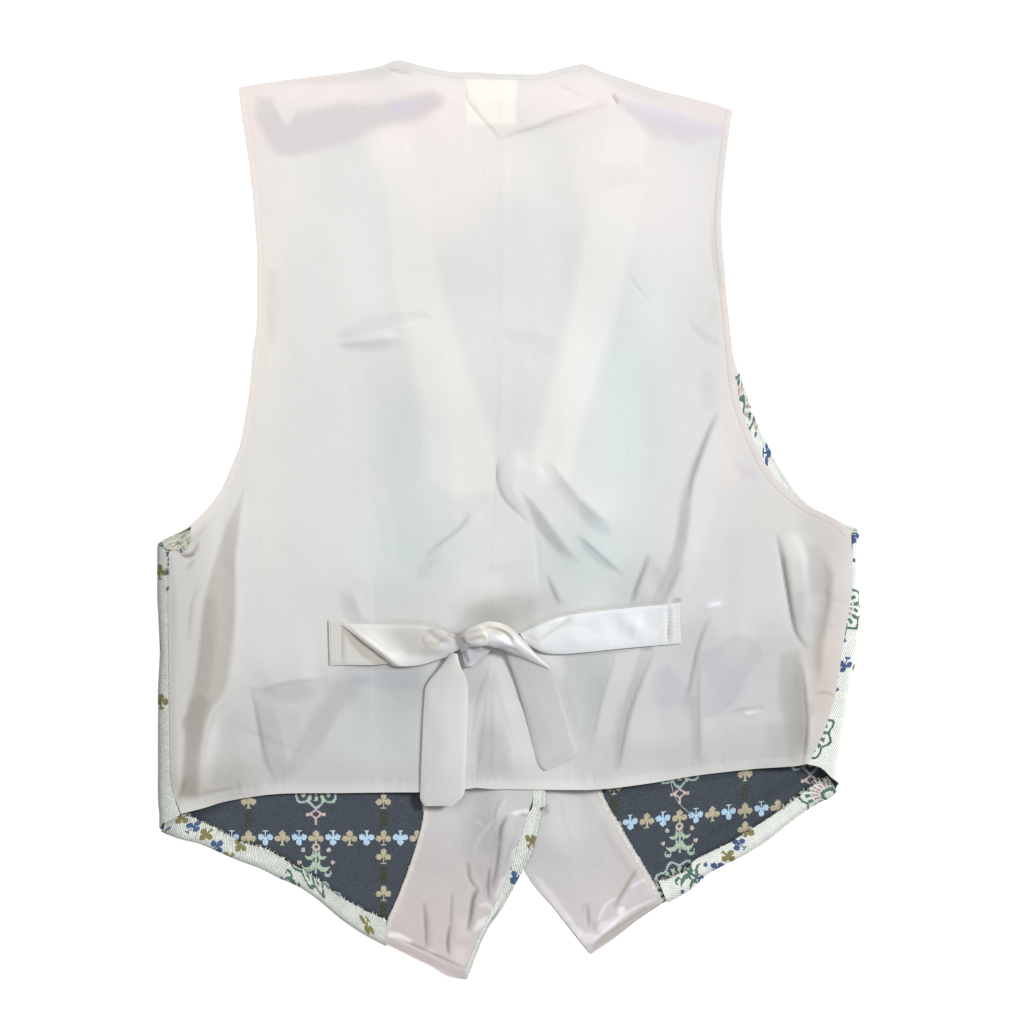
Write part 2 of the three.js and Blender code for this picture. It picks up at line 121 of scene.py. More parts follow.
def close_to(line, x, y, reach):
    """Which places are in the box round a line, widened by reach."""
    low, high = line.min(0) - reach, line.max(0) + reach
    return (x > low[0]) & (x < high[0]) & (y > low[1]) & (y < high[1])


def dying(along):
    """1 along a line, and less and less towards its ends."""
    return smoothstep(along, 0, FADE) * smoothstep(1 - along, 0, FADE)


def creased(x, y, rows):
    """The height of a set of soft ridges and troughs.

    Each row is (name, points, half width, height, lean). A trough has a negative height, and a
    crease that leans is steeper on the left of its line, or on the right if lean is negative.
    """
    total = np.zeros(x.shape)
    for _, points, width, height, lean in rows:
        line = smooth_line(points, 20) if len(points) > 2 else np.linspace(*np.array(points, float), 8)
        near = close_to(line, x, y, 3 * width)
        gap, along = nearest(line, x[near], y[near])
        s = gap / width
        s = s * (1 + lean * np.tanh(3 * s))
        total[near] += height * np.exp(-s * s) * dying(along)
    return total


def folded(x, y, rows):
    """The height of a set of folds, and the shade painted on them where they climb steeply.

    Each row is (name, low line, high line, slope, bend, fade, shade). Between its two lines the
    cloth climbs, evenly if bend is 1, mostly by the high line if it is more and mostly by the low
    line if it is less. Beyond the high line it falls back over the fade.
    """
    height, shade = np.zeros(x.shape), np.zeros(x.shape)
    for _, low_points, high_points, slope, bend, fade, dark in rows:
        low, high = smooth_line(low_points, 22), smooth_line(high_points, 22)
        near = close_to(np.vstack([low, high]), x, y, 3 * fade)
        widths = nearest(low, high[:, 0], high[:, 1])[0]
        turn = np.sign(widths[len(widths) // 2])
        a = nearest(low, x[near], y[near])[0] * turn
        b, along = nearest(high, x[near], y[near])
        b = b * np.sign(nearest(high, low[10:11, 0], low[10:11, 1])[0])
        share = np.abs(a) / np.maximum(np.abs(a) + np.abs(b), 1e-6)
        climb = share**bend
        whole = dying(along)
        rise = slope * np.interp(along, np.linspace(0, 1, len(widths)), np.abs(widths))
        past = np.exp(-np.abs(b) / fade)
        height[near] += rise * whole * np.where(b <= 0, past, np.where(a > 0, climb, 0))
        steep = share ** (bend - 1) if bend >= 1 else (1 - share) ** (1 / bend - 1)
        steep = steep * smoothstep(a, 0, 1.3) * smoothstep(b, 0, 1.3) * whole
        shade[near] = 1 - (1 - shade[near]) * (1 - dark * steep)
    return height, shade


def lined(x, y, rows):
    """Painted shade along a set of sharp creases, as how much light each colour keeps, and how
    deep these are. A negative amount paints a highlight.

    Each row is (name, points, half width, how much darker, hue).
    """
    light, depth = np.ones((*x.shape, 3)), np.zeros(x.shape)
    for _, points, width, dark, hue in rows:
        line = smooth_line(points, 24)
        near = close_to(line, x, y, 4 * width)
        gap, along = nearest(line, x[near], y[near])
        ends = np.sqrt(np.clip(4 * along * (1 - along), 0, 1))
        w = np.exp(-((gap / width) ** 2)) * ends
        light[near] *= 1 - dark * w[:, None] * np.array(hue)
        depth[near] += dark * w
    return light, depth


def faceted(x, y, rows):
    """Painted shade in a set of facets, as how much light each colour keeps. A negative amount
    paints a highlight.

    Each row is (name, outline, width of its edge, how much darker, hue).
    """
    light = np.ones((*x.shape, 3))
    for _, outline, soft, dark, hue in rows:
        near = close_to(np.array(outline), x, y, soft)
        w = inside(outline, x[near], y[near], soft)
        light[near] *= 1 - dark * w[:, None] * np.array(hue)
    return light


def inside(points, x, y, soft):
    """1 inside a closed outline and 0 outside it, with an edge that is soft over a width."""
    line = np.array(points + points[:1], float)
    gap = np.abs(nearest(line, x, y)[0])
    crossings = np.zeros(x.shape, int)
    for a, b in zip(line[:-1], line[1:]):
        spans = (a[1] > y) != (b[1] > y)
        rise = b[1] - a[1] if b[1] != a[1] else 1e-9
        crossings += spans & (x < a[0] + (y - a[1]) * (b[0] - a[0]) / rise)
    signed = np.where(crossings % 2 == 1, gap, -gap)
    return smoothstep(signed, -soft, soft)


# --- Colours --------------------------------------------------------------------------------

# Hues of painted shade and painted highlights: how much of it each of the three colours takes.
GREY = (1, 1, 1)
WARM = (0.88, 1, 1.2)
BROWN = (0.75, 1, 1.25)
COOL = (1.15, 1, 0.85)
MAUVE = (1.0, 1.08, 0.78)
LILAC = (0.93, 0.93, 1.1)

LIGHT = 1.28  # how much brighter than its own colour a white surface that faces up is lit


def linear(colour):
    """The light of a colour that is given in screen values from 0 to 255."""
    c = np.array(colour, float) / 255
    return np.where(c <= 0.04045, c / 12.92, ((c + 0.055) / 1.055) ** 2.4)


def painted(x, y, base, zones, patches=()):
    """Linear colours of a cloth with its light and shade painted in, given as it looks lit: a base,
    soft round zones over it, then patches.

    A zone is (name, centre, radii, colour, weight), a patch (name, outline, edge, colour, cover).
    """
    total = np.ones(x.shape)
    colour = np.ones(x.shape)[..., None] * linear(base)
    for _, centre, radii, shade, weight in zones:
        w = weight * np.exp(-(((x - centre[0]) / radii[0]) ** 2) - ((y - centre[1]) / radii[1]) ** 2)
        colour = colour + w[..., None] * linear(shade)
        total = total + w
    colour = colour / total[..., None]
    for _, outline, edge, shade, cover in patches:
        w = (cover * inside(outline, x, y, edge))[..., None]
        colour = colour * (1 - w) + linear(shade) * w
    return colour / LIGHT


# --- Meshes ---------------------------------------------------------------------------------


def add_object(name, mesh):
    """A new object in the scene. Its name has no spaces or commas."""
    ob = bpy.data.objects.new(name.replace(",", "").replace(" ", "_"), mesh)
    bpy.context.scene.collection.objects.link(ob)
    return ob


def grid_normals(grid):
    """The direction that a grid faces at each of its points."""
    across = np.gradient(grid, axis=1)
    down = np.gradient(grid, axis=0)
    normal = np.cross(down, across)
    return normal / np.maximum(np.linalg.norm(normal, axis=2, keepdims=True), 1e-9)


def edged(grid, share=0.1):
    """The grid with another row and column just inside each border, to keep the borders crisp."""
    for _ in range(2):
        first = grid[:1] + (grid[1:2] - grid[:1]) * share
        last = grid[-1:] + (grid[-2:-1] - grid[-1:]) * share
        grid = np.swapaxes(np.concatenate([grid[:1], first, grid[1:-1], last, grid[-1:]]), 0, 1)
    return grid


def shell(name, middle, thickness, materials, tint=None, cloth=None, rim=0):
    """A closed thin shell of cloth around a grid of points.

    materials holds one for the upper side and, if that differs, one for the lower side. tint is
    a colour and cloth a place on the unrolled cloth for each point.
    """
    if grid_normals(middle)[..., 2].mean() < 0:
        middle = middle[:, ::-1]
        tint = None if tint is None else tint[:, ::-1]
        cloth = None if cloth is None else cloth[:, ::-1]
    offset = edged(grid_normals(middle)) * thickness / 2
    middle = edged(middle)
    tint = None if tint is None else edged(tint)
    cloth = None if cloth is None else edged(cloth)
    rows, columns = middle.shape[:2]
    points = np.concatenate([(middle + offset).reshape(-1, 3), (middle - offset).reshape(-1, 3)])
    at = np.arange(rows * columns).reshape(rows, columns)
    low = at + rows * columns
    a, b, c, d = at[:-1, :-1], at[1:, :-1], at[1:, 1:], at[:-1, 1:]
    upper = np.stack([a, b, c, d], -1).reshape(-1, 4)
    a, b, c, d = low[:-1, :-1], low[1:, :-1], low[1:, 1:], low[:-1, 1:]
    lower = np.stack([a, d, c, b], -1).reshape(-1, 4)
    edge = np.concatenate([at[0, ::-1], at[1:, 0], at[-1, 1:], at[-2::-1, -1]])
    under = np.concatenate([low[0, ::-1], low[1:, 0], low[-1, 1:], low[-2::-1, -1]])
    sides = np.stack([edge[:-1], under[:-1], under[1:], edge[1:]], -1)
    faces = np.concatenate([upper, lower, sides])
    mesh = bpy.data.meshes.new(name)
    mesh.vertices.add(len(points))
    mesh.vertices.foreach_set("co", (points * MM).astype(np.float32).ravel())
    mesh.loops.add(faces.size)
    mesh.loops.foreach_set("vertex_index", faces.ravel().astype(np.int32))
    mesh.polygons.add(len(faces))
    mesh.polygons.foreach_set("loop_start", np.arange(0, faces.size, 4, dtype=np.int32))
    for material in materials:
        mesh.materials.append(material)
    slots = np.zeros(len(faces), np.int32)
    slots[len(upper) : len(upper) + len(lower)] = len(materials) - 1
    slots[len(upper) + len(lower) :] = rim
    mesh.polygons.foreach_set("material_index", slots)
    mesh.polygons.foreach_set("use_smooth", np.ones(len(faces), bool))
    if tint is not None:
        colours = np.ones((len(points), 4), np.float32)
        colours[:, :3] = np.tile(tint.reshape(-1, 3), (2, 1))
        attribute = mesh.color_attributes.new("tint", "FLOAT_COLOR", "POINT")
        attribute.data.foreach_set("color", colours.ravel())
    if cloth is not None:
        places = np.tile(cloth.reshape(-1, 2), (2, 1))[faces.ravel()] / CLOTH_UNIT
        mesh.uv_layers.new(name="cloth").uv.foreach_set("vector", places.astype(np.float32).ravel())
    mesh.update(calc_edges=True)
    mesh.validate()
    ob = add_object(name, mesh)
    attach(ob, "root")
    return ob


def flat3(plane, z):
    """A grid of places with a height, as points."""
    return np.concatenate([plane, np.broadcast_to(z, plane.shape[:2])[..., None]], -1)


# --- Materials ------------------------------------------------------------------------------


class Term:
    """A number inside a node tree, so that a pattern can be written as a sum."""

    def __init__(self, tree, socket):
        self.tree = tree
        self.socket = socket

    def math(self, operation, *others, clamp=False):
        node = self.tree.nodes.new("ShaderNodeMath")
        node.operation = operation
        node.use_clamp = clamp
        for i, value in enumerate((self, *others)):
            if isinstance(value, Term):
                self.tree.links.new(value.socket, node.inputs[i])
            else:
                node.inputs[i].default_value = value
        return Term(self.tree, node.outputs[0])

    def __add__(self, other):
        return self.math("ADD", other)

    def __sub__(self, other):
        return self.math("SUBTRACT", other)

    def __mul__(self, other):
        return self.math("MULTIPLY", other)

    def __truediv__(self, other):
        return self.math("DIVIDE", other)

    def floor(self):
        return self.math("FLOOR")

    def absolute(self):
        return self.math("ABSOLUTE")

    def wrapped(self, period):
        """The rest after whole periods, centred on zero."""
        return self.math("ADD", period / 2).math("FLOORED_MODULO", period) - period / 2

    def below(self, limit):
        return self.math("LESS_THAN", limit)

    def either(self, other):
        return self.math("MAXIMUM", other)

    def both(self, other):
        return self.math("MULTIPLY", other)

    def without(self, other):
        return self.math("SUBTRACT", other, clamp=True)


def new_material(name, roughness, specular=0.3, sheen=0.0):
    material = bpy.data.materials.new(name)
    material.use_nodes = True
    shader = material.node_tree.nodes["Principled BSDF"]
    shader.inputs["Roughness"].default_value = roughness
    shader.inputs["Specular IOR Level"].default_value = specular
    shader.inputs["Sheen Weight"].default_value = sheen
    return material, material.node_tree, shader


def mixed(tree, factor, a, b, blend="MIX"):
    """A colour mixed from two, each a socket or a colour."""
    node = tree.nodes.new("ShaderNodeMix")
    node.data_type = "RGBA"
    node.blend_type = blend
    for i, value in ((0, factor), (6, a), (7, b)):
        if isinstance(value, Term):
            value = value.socket
        if isinstance(value, bpy.types.NodeSocket):
            tree.links.new(value, node.inputs[i])
        elif i == 0:
            node.inputs[0].default_value = value
        else:
            node.inputs[i].default_value = (*linear(value), 1)
    return node.outputs[2]


def cloth_place(tree):
    """The place on the unrolled cloth, in millimetres."""
    node = tree.nodes.new("ShaderNodeUVMap")
    node.uv_map = "cloth"
    split = tree.nodes.new("ShaderNodeSeparateXYZ")
    tree.links.new(node.outputs[0], split.inputs[0])
    return Term(tree, split.outputs[0]) * CLOTH_UNIT, Term(tree, split.outputs[1]) * CLOTH_UNIT


def object_place(tree):
    """The place in space, in metres."""
    return tree.nodes.new("ShaderNodeTexCoord").outputs["Object"]


def tint_of(tree):
    """The colour that a mesh has at each of its points, with light and shade painted in."""
    node = tree.nodes.new("ShaderNodeAttribute")
    node.attribute_name = "tint"
    return node.outputs[0]


def stretched(tree, place, scale):
    """The place, scaled by a different number along each axis."""
    node = tree.nodes.new("ShaderNodeMapping")
    node.inputs["Scale"].default_value = scale
    tree.links.new(place, node.inputs["Vector"])
    return node.outputs[0]


def noise(tree, place, scale, detail=2.0):
    """Soft noise from 0 to 1."""
    node = tree.nodes.new("ShaderNodeTexNoise")
    node.inputs["Scale"].default_value = scale
    node.inputs["Detail"].default_value = detail
    tree.links.new(place, node.inputs["Vector"])
    return Term(tree, node.outputs[0])


def bumped(tree, shader, height, distance):
    """Gives a shader a fine relief, whose height is in units of a distance in millimetres."""
    node = tree.nodes.new("ShaderNodeBump")
    node.inputs["Strength"].default_value = 1.0
    node.inputs["Distance"].default_value = distance * MM
    tree.links.new(height.socket, node.inputs["Height"])
    tree.links.new(node.outputs[0], shader.inputs["Normal"])


def grey_of(tree, level):
    """A grey colour from a level."""
    node = tree.nodes.new("ShaderNodeCombineXYZ")
    for i in range(3):
        tree.links.new(level.socket, node.inputs[i])
    return node.outputs[0]


def satin_material(name, roughness, wrinkle):
    """Satin in the colour of its mesh, with a fine weave, slubs and small wrinkles."""
    material, tree, shader = new_material(name, roughness, specular=0.35, sheen=0.08)
    place = object_place(tree)
    warp = noise(tree, stretched(tree, place, (1300, 40, 40)), 1.0)
    weft = noise(tree, stretched(tree, place, (90, 1300, 90)), 1.0)
    weave = warp * 0.65 + weft * 0.35
    level = grey_of(tree, weave * 0.1 + noise(tree, place, 26, 3.0) * 0.06 + 0.92)
    tree.links.new(mixed(tree, 1.0, tint_of(tree), level, "MULTIPLY"), shader.inputs["Base Color"])
    small = noise(tree, place, 70, 3.0)
    bumped(tree, shader, small * wrinkle + weave * 0.02, 1.0)
    return material


PITCH = 11.66  # between clubs in a row
LIFT = 12.7  # between clubs in a column
ROW_CLUBS = 8
COLUMN_CLUBS = 7
CELL_WIDTH = PITCH * ROW_CLUBS
CELL_HEIGHT = LIFT * COLUMN_CLUBS
STEP = 0.75  # the loom's smallest step
ROSETTE = 40  # height of the rosette's middle over a row of clubs


def disc(x, y, centre, radius):
    """A round spot."""
    dx, dy = x - centre[0], y - centre[1]
    return (dx * dx + dy * dy).below(radius * radius)


def box(x, y, centre, half):
    """A rectangle, with half its width and half its height."""
    return (x - centre[0]).absolute().below(half[0]).both((y - centre[1]).absolute().below(half[1]))


def club(x, y):
    """A club with its stem down: three lobes, a joint, a stem and a foot."""
    lobes = disc(x, y, (0, 2.9), 2.15).either(disc(x, y, (-3.1, -0.5), 2.15))
    lobes = lobes.either(disc(x, y, (3.1, -0.5), 2.15)).either(disc(x, y, (0, 0.4), 1.3))
    return lobes.either(box(x, y, (0, -2.9), (0.6, 2.6))).either(box(x, y, (0, -4.9), (1.7, 0.55)))


def crescent(x, y, centre, radius, shift):
    """A disc with a bite, which lies the shift away from its middle."""
    bite = disc(x, y, (centre[0] + shift[0], centre[1] + shift[1]), radius * 0.85)
    return disc(x, y, centre, radius).without(bite)


def trellis(tree, shift):
    """Masks of the tapestry's design by name: rows and columns of clubs round a rosette."""
    u, v = cloth_place(tree)
    u, v = u + shift[0], v + shift[1]
    x = (u / STEP).floor() * STEP + STEP / 2
    y = (v / STEP).floor() * STEP + STEP / 2
    in_row = y.wrapped(CELL_HEIGHT)
    column_club = x.wrapped(PITCH)
    number = (x / PITCH + 0.5).floor()
    odd = number.math("FLOORED_MODULO", 2.0)
    upright = club(column_club, in_row)
    turned = club(column_club, in_row * -1)
    gold = upright.both(odd.below(0.5))
    blue = turned.both(odd.math("GREATER_THAN", 0.5))
    in_column = x.wrapped(CELL_WIDTH)
    row_club = y.wrapped(LIFT)
    rank = (y / LIFT + 0.5).floor().math("FLOORED_MODULO", float(COLUMN_CLUBS))
    on_column = club(in_column, row_club)
    is_gold = rank.math("FLOORED_MODULO", 2.0).below(0.5).both(rank.math("GREATER_THAN", 0.5))
    gold = gold.either(on_column.both(is_gold))
    bar = box(in_column, row_club, (0, 0), (2.5, 5.2))
    olive = bar.both(rank.math("FLOORED_MODULO", 2.0).math("GREATER_THAN", 0.5))
    # A rosette fills the middle of each cell, with a drop below it and a sprig above.
    mx = (x - CELL_WIDTH / 2).wrapped(CELL_WIDTH)
    my = y.math("FLOORED_MODULO", CELL_HEIGHT)
    around = mx.math("ARCTAN2", my - ROSETTE)
    radius = (mx * mx + (my - ROSETTE) * (my - ROSETTE)).math("SQRT")
    lobes = (around * 9).math("COSINE")
    outline = (radius + lobes * 1.6 - 17.4).absolute().below(0.95)
    rays = (around * 18).math("COSINE").math("GREATER_THAN", -0.1)
    petals = rays.both(radius.below(10.4)).both(radius.math("GREATER_THAN", 6.4))
    outer_petals = rays.both(radius.below(14.8)).both(radius.math("GREATER_THAN", 11.2))
    heart = (radius - 4.4).absolute().below(1.2)
    lobe_x = mx.absolute()
    drop = (lobe_x + (my - 16.5).absolute() * 1.3 - 4.0).absolute().below(1.1)
    tassel = box(mx, my, (0, 10.6), (0.8, 1.8)).either(disc(lobe_x, my, (5.6, 16), 1.3))
    stem = box(mx, my, (0, 72), (0.8, 8))
    leaves = crescent(lobe_x, my, (5.2, 70), 4.6, (1.4, 2.4))
    leaves = leaves.either(crescent(lobe_x, my, (4.2, 77), 3.4, (1.2, 1.8)))
    shadow_leaves = disc(lobe_x, my, (8.2, 64.5), 2.6).without(disc(lobe_x, my, (8.2, 65.6), 1.7))
    bud = disc(mx, my, (0, 82.3), 2.8).without(disc(mx, my, (0, 82.8), 1.1))
    berries = disc(lobe_x, my, (8.8, 80.5), 1.5).either(disc(lobe_x, my, (11.5, 72), 1.5))
    return {
        "x": u,
        "y": v,
        "gold": gold,
        "blue": blue,
        "olive": olive,
        "teal": outline.either(stem).either(shadow_leaves),
        "pink": petals.either(drop),
        "leaf": leaves.either(heart).either(outer_petals),
        "flower": bud.either(berries).either(tassel),
    }


def twill(u, v, period, slope):
    """A saw-tooth across the diagonal lines of a twill, 0 to 1."""
    return ((u + v * slope) / period).math("FRACT")


def tapestry_material(name, ground, line, inks, roughness, period, slope, shift=(0, 0)):
    """One side of the tapestry: twill ground, then each mask of the design in its ink.

    The twill's lines have a period and a slope, and the shift moves the whole design. For each
    mask, inks holds its colour and how much of it the ink's threads cover.
    """
    material, tree, shader = new_material(name, roughness, specular=0.12, sheen=0.0)
    masks = trellis(tree, shift)
    u, v = masks["x"], masks["y"]
    place = object_place(tree)
    ridge = twill(u, v, period, slope)
    speckle = noise(tree, place, 1100, 1.0)
    flecks = grey_of(tree, noise(tree, place, 1500, 2.0) * 0.9 + 0.55)
    colour = mixed(tree, (ridge + speckle * 0.9 - 0.45).below(0.5), ground, line)
    design = None
    for ink, (shade, cover) in inks.items():
        threads_on_top = (speckle + ridge * 0.22).math("GREATER_THAN", 1 - cover).both(masks[ink])
        colour = mixed(tree, threads_on_top, colour, mixed(tree, 1.0, shade, flecks, "MULTIPLY"))
        design = masks[ink] if design is None else design.either(masks[ink])
    mottled = grey_of(tree, noise(tree, place, 220, 2.0) * 0.3 + 0.85)
    colour = mixed(tree, 1.0, colour, mottled, "MULTIPLY")
    colour = mixed(tree, 1.0, colour, tint_of(tree), "MULTIPLY")
    tree.links.new(colour, shader.inputs["Base Color"])
    bumped(tree, shader, ridge * 0.2 + speckle * 0.35 + design * 0.25, 0.5)
    return material


def plain_material(name, colour, roughness, specular=0.3):
    """One colour with a fine grain."""
    material, tree, shader = new_material(name, roughness, specular)
    place = object_place(tree)
    level = noise(tree, place, 1400, 2.0)
    darker = [c * 0.86 for c in colour]
    tree.links.new(mixed(tree, level * 0.3, colour, darker), shader.inputs["Base Color"])
    bumped(tree, shader, level, 0.1)
    return material


REVERSE_INKS = {
    "olive": ((66, 72, 56), 0.5),
    "teal": ((176, 196, 192), 0.6),
    "pink": ((214, 190, 192), 0.6),
    "leaf": ((184, 204, 180), 0.62),
    "flower": ((208, 196, 190), 0.6),
    "gold": ((196, 186, 160), 0.6),
    "blue": ((190, 218, 240), 0.72),
}
FACE_INKS = {
    "teal": ((84, 116, 104), 0.62),
    "pink": ((184, 150, 150), 0.55),
    "leaf": ((92, 124, 112), 0.66),
    "flower": ((86, 104, 150), 0.66),
    "gold": ((136, 130, 84), 0.6),
    "blue": ((76, 98, 140), 0.66),
}

back_satin = satin_material("back satin", 0.4, 0.28)
facing_satin = satin_material("facing satin", 0.3, 0.5)
reverse = tapestry_material(
    "tapestry reverse",
    (54, 61, 70),
    (92, 99, 108),
    REVERSE_INKS,
    0.9,
    1.5,
    1.25,
)
# The right face's paler ground and twill lines are painted light, on the side the light comes from.
faces = {
    "left": tapestry_material(
        "tapestry face left",
        (246, 249, 245),
        (172, 180, 166),
        FACE_INKS,
        0.85,
        1.6,
        -0.9,
        (0, -6.2),
    ),
    "right": tapestry_material(
        "tapestry face right",
        (250, 252, 249),
        (208, 215, 203),
        FACE_INKS,
        0.85,
        1.6,
        -0.9,
        (-56.0, -2.9),
    ),
}
thread = plain_material("sewing thread", (206, 200, 196), 0.6)
label_tape = plain_material("label tape", (250, 247, 236), 0.75)
horn = plain_material("button plastic", (226, 216, 192), 0.3, 0.5)

# --- Fronts ---------------------------------------------------------------------------------

# Where each front folds up round its side, and the side seam on top: rows of (y, fold, seam),
# both as distances from x = 0.
SIDES = {
    "left": [
        (-15, 242.5, 234.5), (-55, 242.5, 233.6), (-90, 240.5, 233.2), (-117, 242, 233.4),
        (-159, 242, 232.4), (-193, 242, 230.5), (-203, 241, 226),
    ],
    "right": [
        (-8, 242.3, 237), (-51, 242.3, 235.6), (-76, 243, 231.6), (-90, 241.2, 229.6),
        (-104, 238.4, 227), (-131, 234.6, 220), (-148, 231.5, 214.5), (-168, 228.6, 205),
    ],
}
# The line of the buttons: a place on it, its slope, and where the first button is.
BUTTON_LINE = {"top": (0, 45), "slope": -0.046, "first": 14, "spacing": 72, "count": 4}
BUTTON_CHANNEL = 2.9  # how far the right front rides over the buttons


def table_at(rows, y, column):
    """A column of a table at a height y, whose first column holds the heights."""
    rows = sorted(rows)
    return np.interp(y, [r[0] for r in rows], [r[column] for r in rows])


def button_line(y):
    """Where the line of the buttons is at a height y."""
    return BUTTON_LINE["top"][0] + BUTTON_LINE["slope"] * (y - BUTTON_LINE["top"][1])


RIGHT_OPENING = [(51, 312), (47, 236), (35, 156), (19, 91), (2, 45), (-11, 5), (-7, -83), (-3, -186)]
RIGHT_OPENING += [(10, -240.1), (32.8, -270.5), (53.5, -296.7), (57.6, -300.1)]


def right_lift(x, y):
    """How far the right front stands off the surface, which is over the buttons only."""
    last = BUTTON_LINE["first"] - (BUTTON_LINE["count"] - 1) * BUTTON_LINE["spacing"]
    across = 1 - smoothstep(np.abs(x - button_line(y)), 14, 42)
    above = 1 - smoothstep(y, BUTTON_LINE["first"] + 14, BUTTON_LINE["first"] + 60)
    below = smoothstep(y, last - 40, last - 14)
    return BUTTON_CHANNEL * across * above * below


def left_lift(x, y):
    """How far the left front stands off the surface, where it lies over the right one."""
    opening = sorted((py, px) for px, py in RIGHT_OPENING)
    beyond = np.interp(y, [p[0] for p in opening], [p[1] for p in opening]) - x
    layers = TAPESTRY + SATIN + 3 * GAP + 0.6
    return (right_lift(x, y) + layers) * (1 - smoothstep(beyond, 3, 40))


LIFTS = {"left": left_lift, "right": right_lift}
SIGNS = {"left": -1, "right": 1}


def unrolled_seam(side, y):
    """How far from x = 0 the side seam is when the front is unrolled."""
    start = table_at(SIDES[side], y, 1) - ROLL_RADIUS
    return 2 * start + math.pi * ROLL_RADIUS - table_at(SIDES[side], y, 2)


def rolled(side, plane, depth):
    """Points of the unrolled front in place. depth is how far each lies inside the outer face."""
    s = SIGNS[side]
    x, y = plane[..., 0], plane[..., 1]
    start = table_at(SIDES[side], y, 1) - ROLL_RADIUS
    past = s * x - start
    angle = np.clip(past / ROLL_RADIUS, 0, math.pi)
    back = np.maximum(past - math.pi * ROLL_RADIUS, 0)
    radius = ROLL_RADIUS - depth
    flat = past <= 0
    px = np.where(flat, x, s * (start - back + radius * np.sin(angle)))
    pz = np.where(flat, LIFTS[side](x, y) + depth, ROLL_RADIUS - radius * np.cos(angle))
    return np.stack([px, y, pz], -1)


# Borders of the fronts. Down the armhole and the side, the cloth is unrolled.
FRONT_EDGES = {
    "left": {
        "top": [(-75, 315), (-113, 309.5), (-150, 303.5), (-183.5, 296.5)],
        "armhole": [
            (-183.9, 295.3), (-178.4, 255.3), (-173.5, 213.9), (-171.5, 186.3), (-171.5, 144.9),
            (-173.9, 117.3), (-178.4, 75.9), (-184.6, 48.3), (-195.6, 20), (-204.6, 6.9), (-213, -1.5),
            (-224, -8.5), (-234, -13), (-244, -17.5), (-255.5, -18),
        ],
        "opening": [
            (-75, 315), (-66, 236), (-43, 156), (-18, 91), (0, 45), (13, 5), (19, -83), (24.1, -185.6),
            (21.4, -199.4), (15.9, -224.9), (9, -240.1), (-4.8, -267), (-16.6, -285), (-30, -317.4),
        ],
        "corner": [],
        "hem": [
            (-240.5, -213.9), (-226.7, -219.1), (-212.9, -222.5), (-199.1, -228.4), (-185.3, -234.3),
            (-171.5, -239.4), (-157.7, -246.3), (-143.9, -252.5), (-130.1, -262.2), (-116.3, -273.9),
            (-101.1, -284.3), (-85.2, -292.9), (-66.6, -302.2), (-51.4, -309.8), (-42.4, -315.3),
            (-30, -317.7),
        ],
    },
    "right": {
        "top": [(51, 312), (85, 302), (120, 293), (151.5, 282)],
        "armhole": [
            (151.5, 278.1), (147.3, 248.4), (144.6, 213.9), (145.2, 186.3), (147.3, 158.7),
            (150.1, 131.1), (153.9, 115.9), (164.6, 82.8), (171.5, 64.9), (181.1, 45.5), (194.9, 22.8),
            (206.7, 10), (219.1, 3.1), (229, -2.2), (237, -5.5), (245, -8.5), (252.8, -9.5),
        ],
        "opening": RIGHT_OPENING,
        "corner": [(247, -170.5), (240.2, -177), (234, -181)],
        "hem": [
            (228, -183.5), (226.3, -187.7), (221.8, -190.8), (211.5, -195.6), (194.9, -207.3),
            (178.4, -220.5), (161.8, -230.8), (139, -242.5), (124.5, -255), (110.7, -262.5),
            (90.7, -276), (73.5, -289.1), (57.6, -300.5),
        ],
    },
}

WAIST_POINT = 6  # which point of an opening lies level with the waist
FRONT_STEPS = (210, 120)  # down a front and across it


def front_plane(side, down, across):
    """The unrolled grid of a front, from its outer edge to its opening."""
    edges = FRONT_EDGES[side]
    s = SIGNS[side]
    armhole_steps = down * 45 // 100
    foot = SIDES[side][-1][0]
    side_line = [(s * unrolled_seam(side, y), y) for y in np.linspace(edges["armhole"][-1][1], foot, 9)]
    outer = border((edges["armhole"], armhole_steps), (side_line, down - armhole_steps))
    # The row from the underarm meets the opening lower down, so that the grid never folds over.
    above, below = edges["opening"][: WAIST_POINT + 1], edges["opening"][WAIST_POINT:]
    opening = border((above, armhole_steps), (below, down - armhole_steps))
    top = border((edges["top"][::-1], across))
    corner = [tuple(side_line[-1]), *edges["corner"], edges["hem"][0]]
    steps = max(4, across // 12)
    bottom = border((corner, steps), (edges["hem"], across - steps))
    return filled(top, bottom, outer, opening)


# The turned hems: where each meets the hem of its front, and its cut edge.
HEM_LINES = {
    "left": (FRONT_EDGES["left"]["hem"][:11] + [(-84.5, -293.2)], [
        (-232.9, -201.5), (-220.5, -204.9), (-205.3, -211.8), (-184.6, -222.9), (-167.3, -227.7),
        (-150.8, -237.4), (-137, -244.9), (-121.1, -257.4), (-105.2, -267), (-84.5, -276.7),
    ]),
    "right": ([(227, -186.3)] + FRONT_EDGES["right"]["hem"][2:9] + [(109.4, -263.6)], [
        (220.5, -177.3), (214.9, -180.1), (206, -186.3), (189.4, -199.4), (167.3, -213.9),
        (151.5, -223.6), (129.4, -234.6), (120.4, -243.6), (103.8, -249.8),
    ]),
}

# Where a club of the trellis sits on each front, and how the cloth lies there: its stretch
# along the rows and how much the rows climb.
GRAIN = {
    "left": {"club": (-179.7, -219.8), "stretch": 1.0, "climb": 0.0},
    "right": {"club": (163.5, -200.8), "stretch": 1.03, "climb": 0.104},
}


def cloth_of(side, plane):
    """The places on the cloth, counted from a club of the trellis."""
    grain = GRAIN[side]
    x = plane[..., 0] - grain["club"][0]
    y = plane[..., 1] - grain["club"][1]
    return np.stack([x * grain["stretch"], y - grain["climb"] * x], -1)


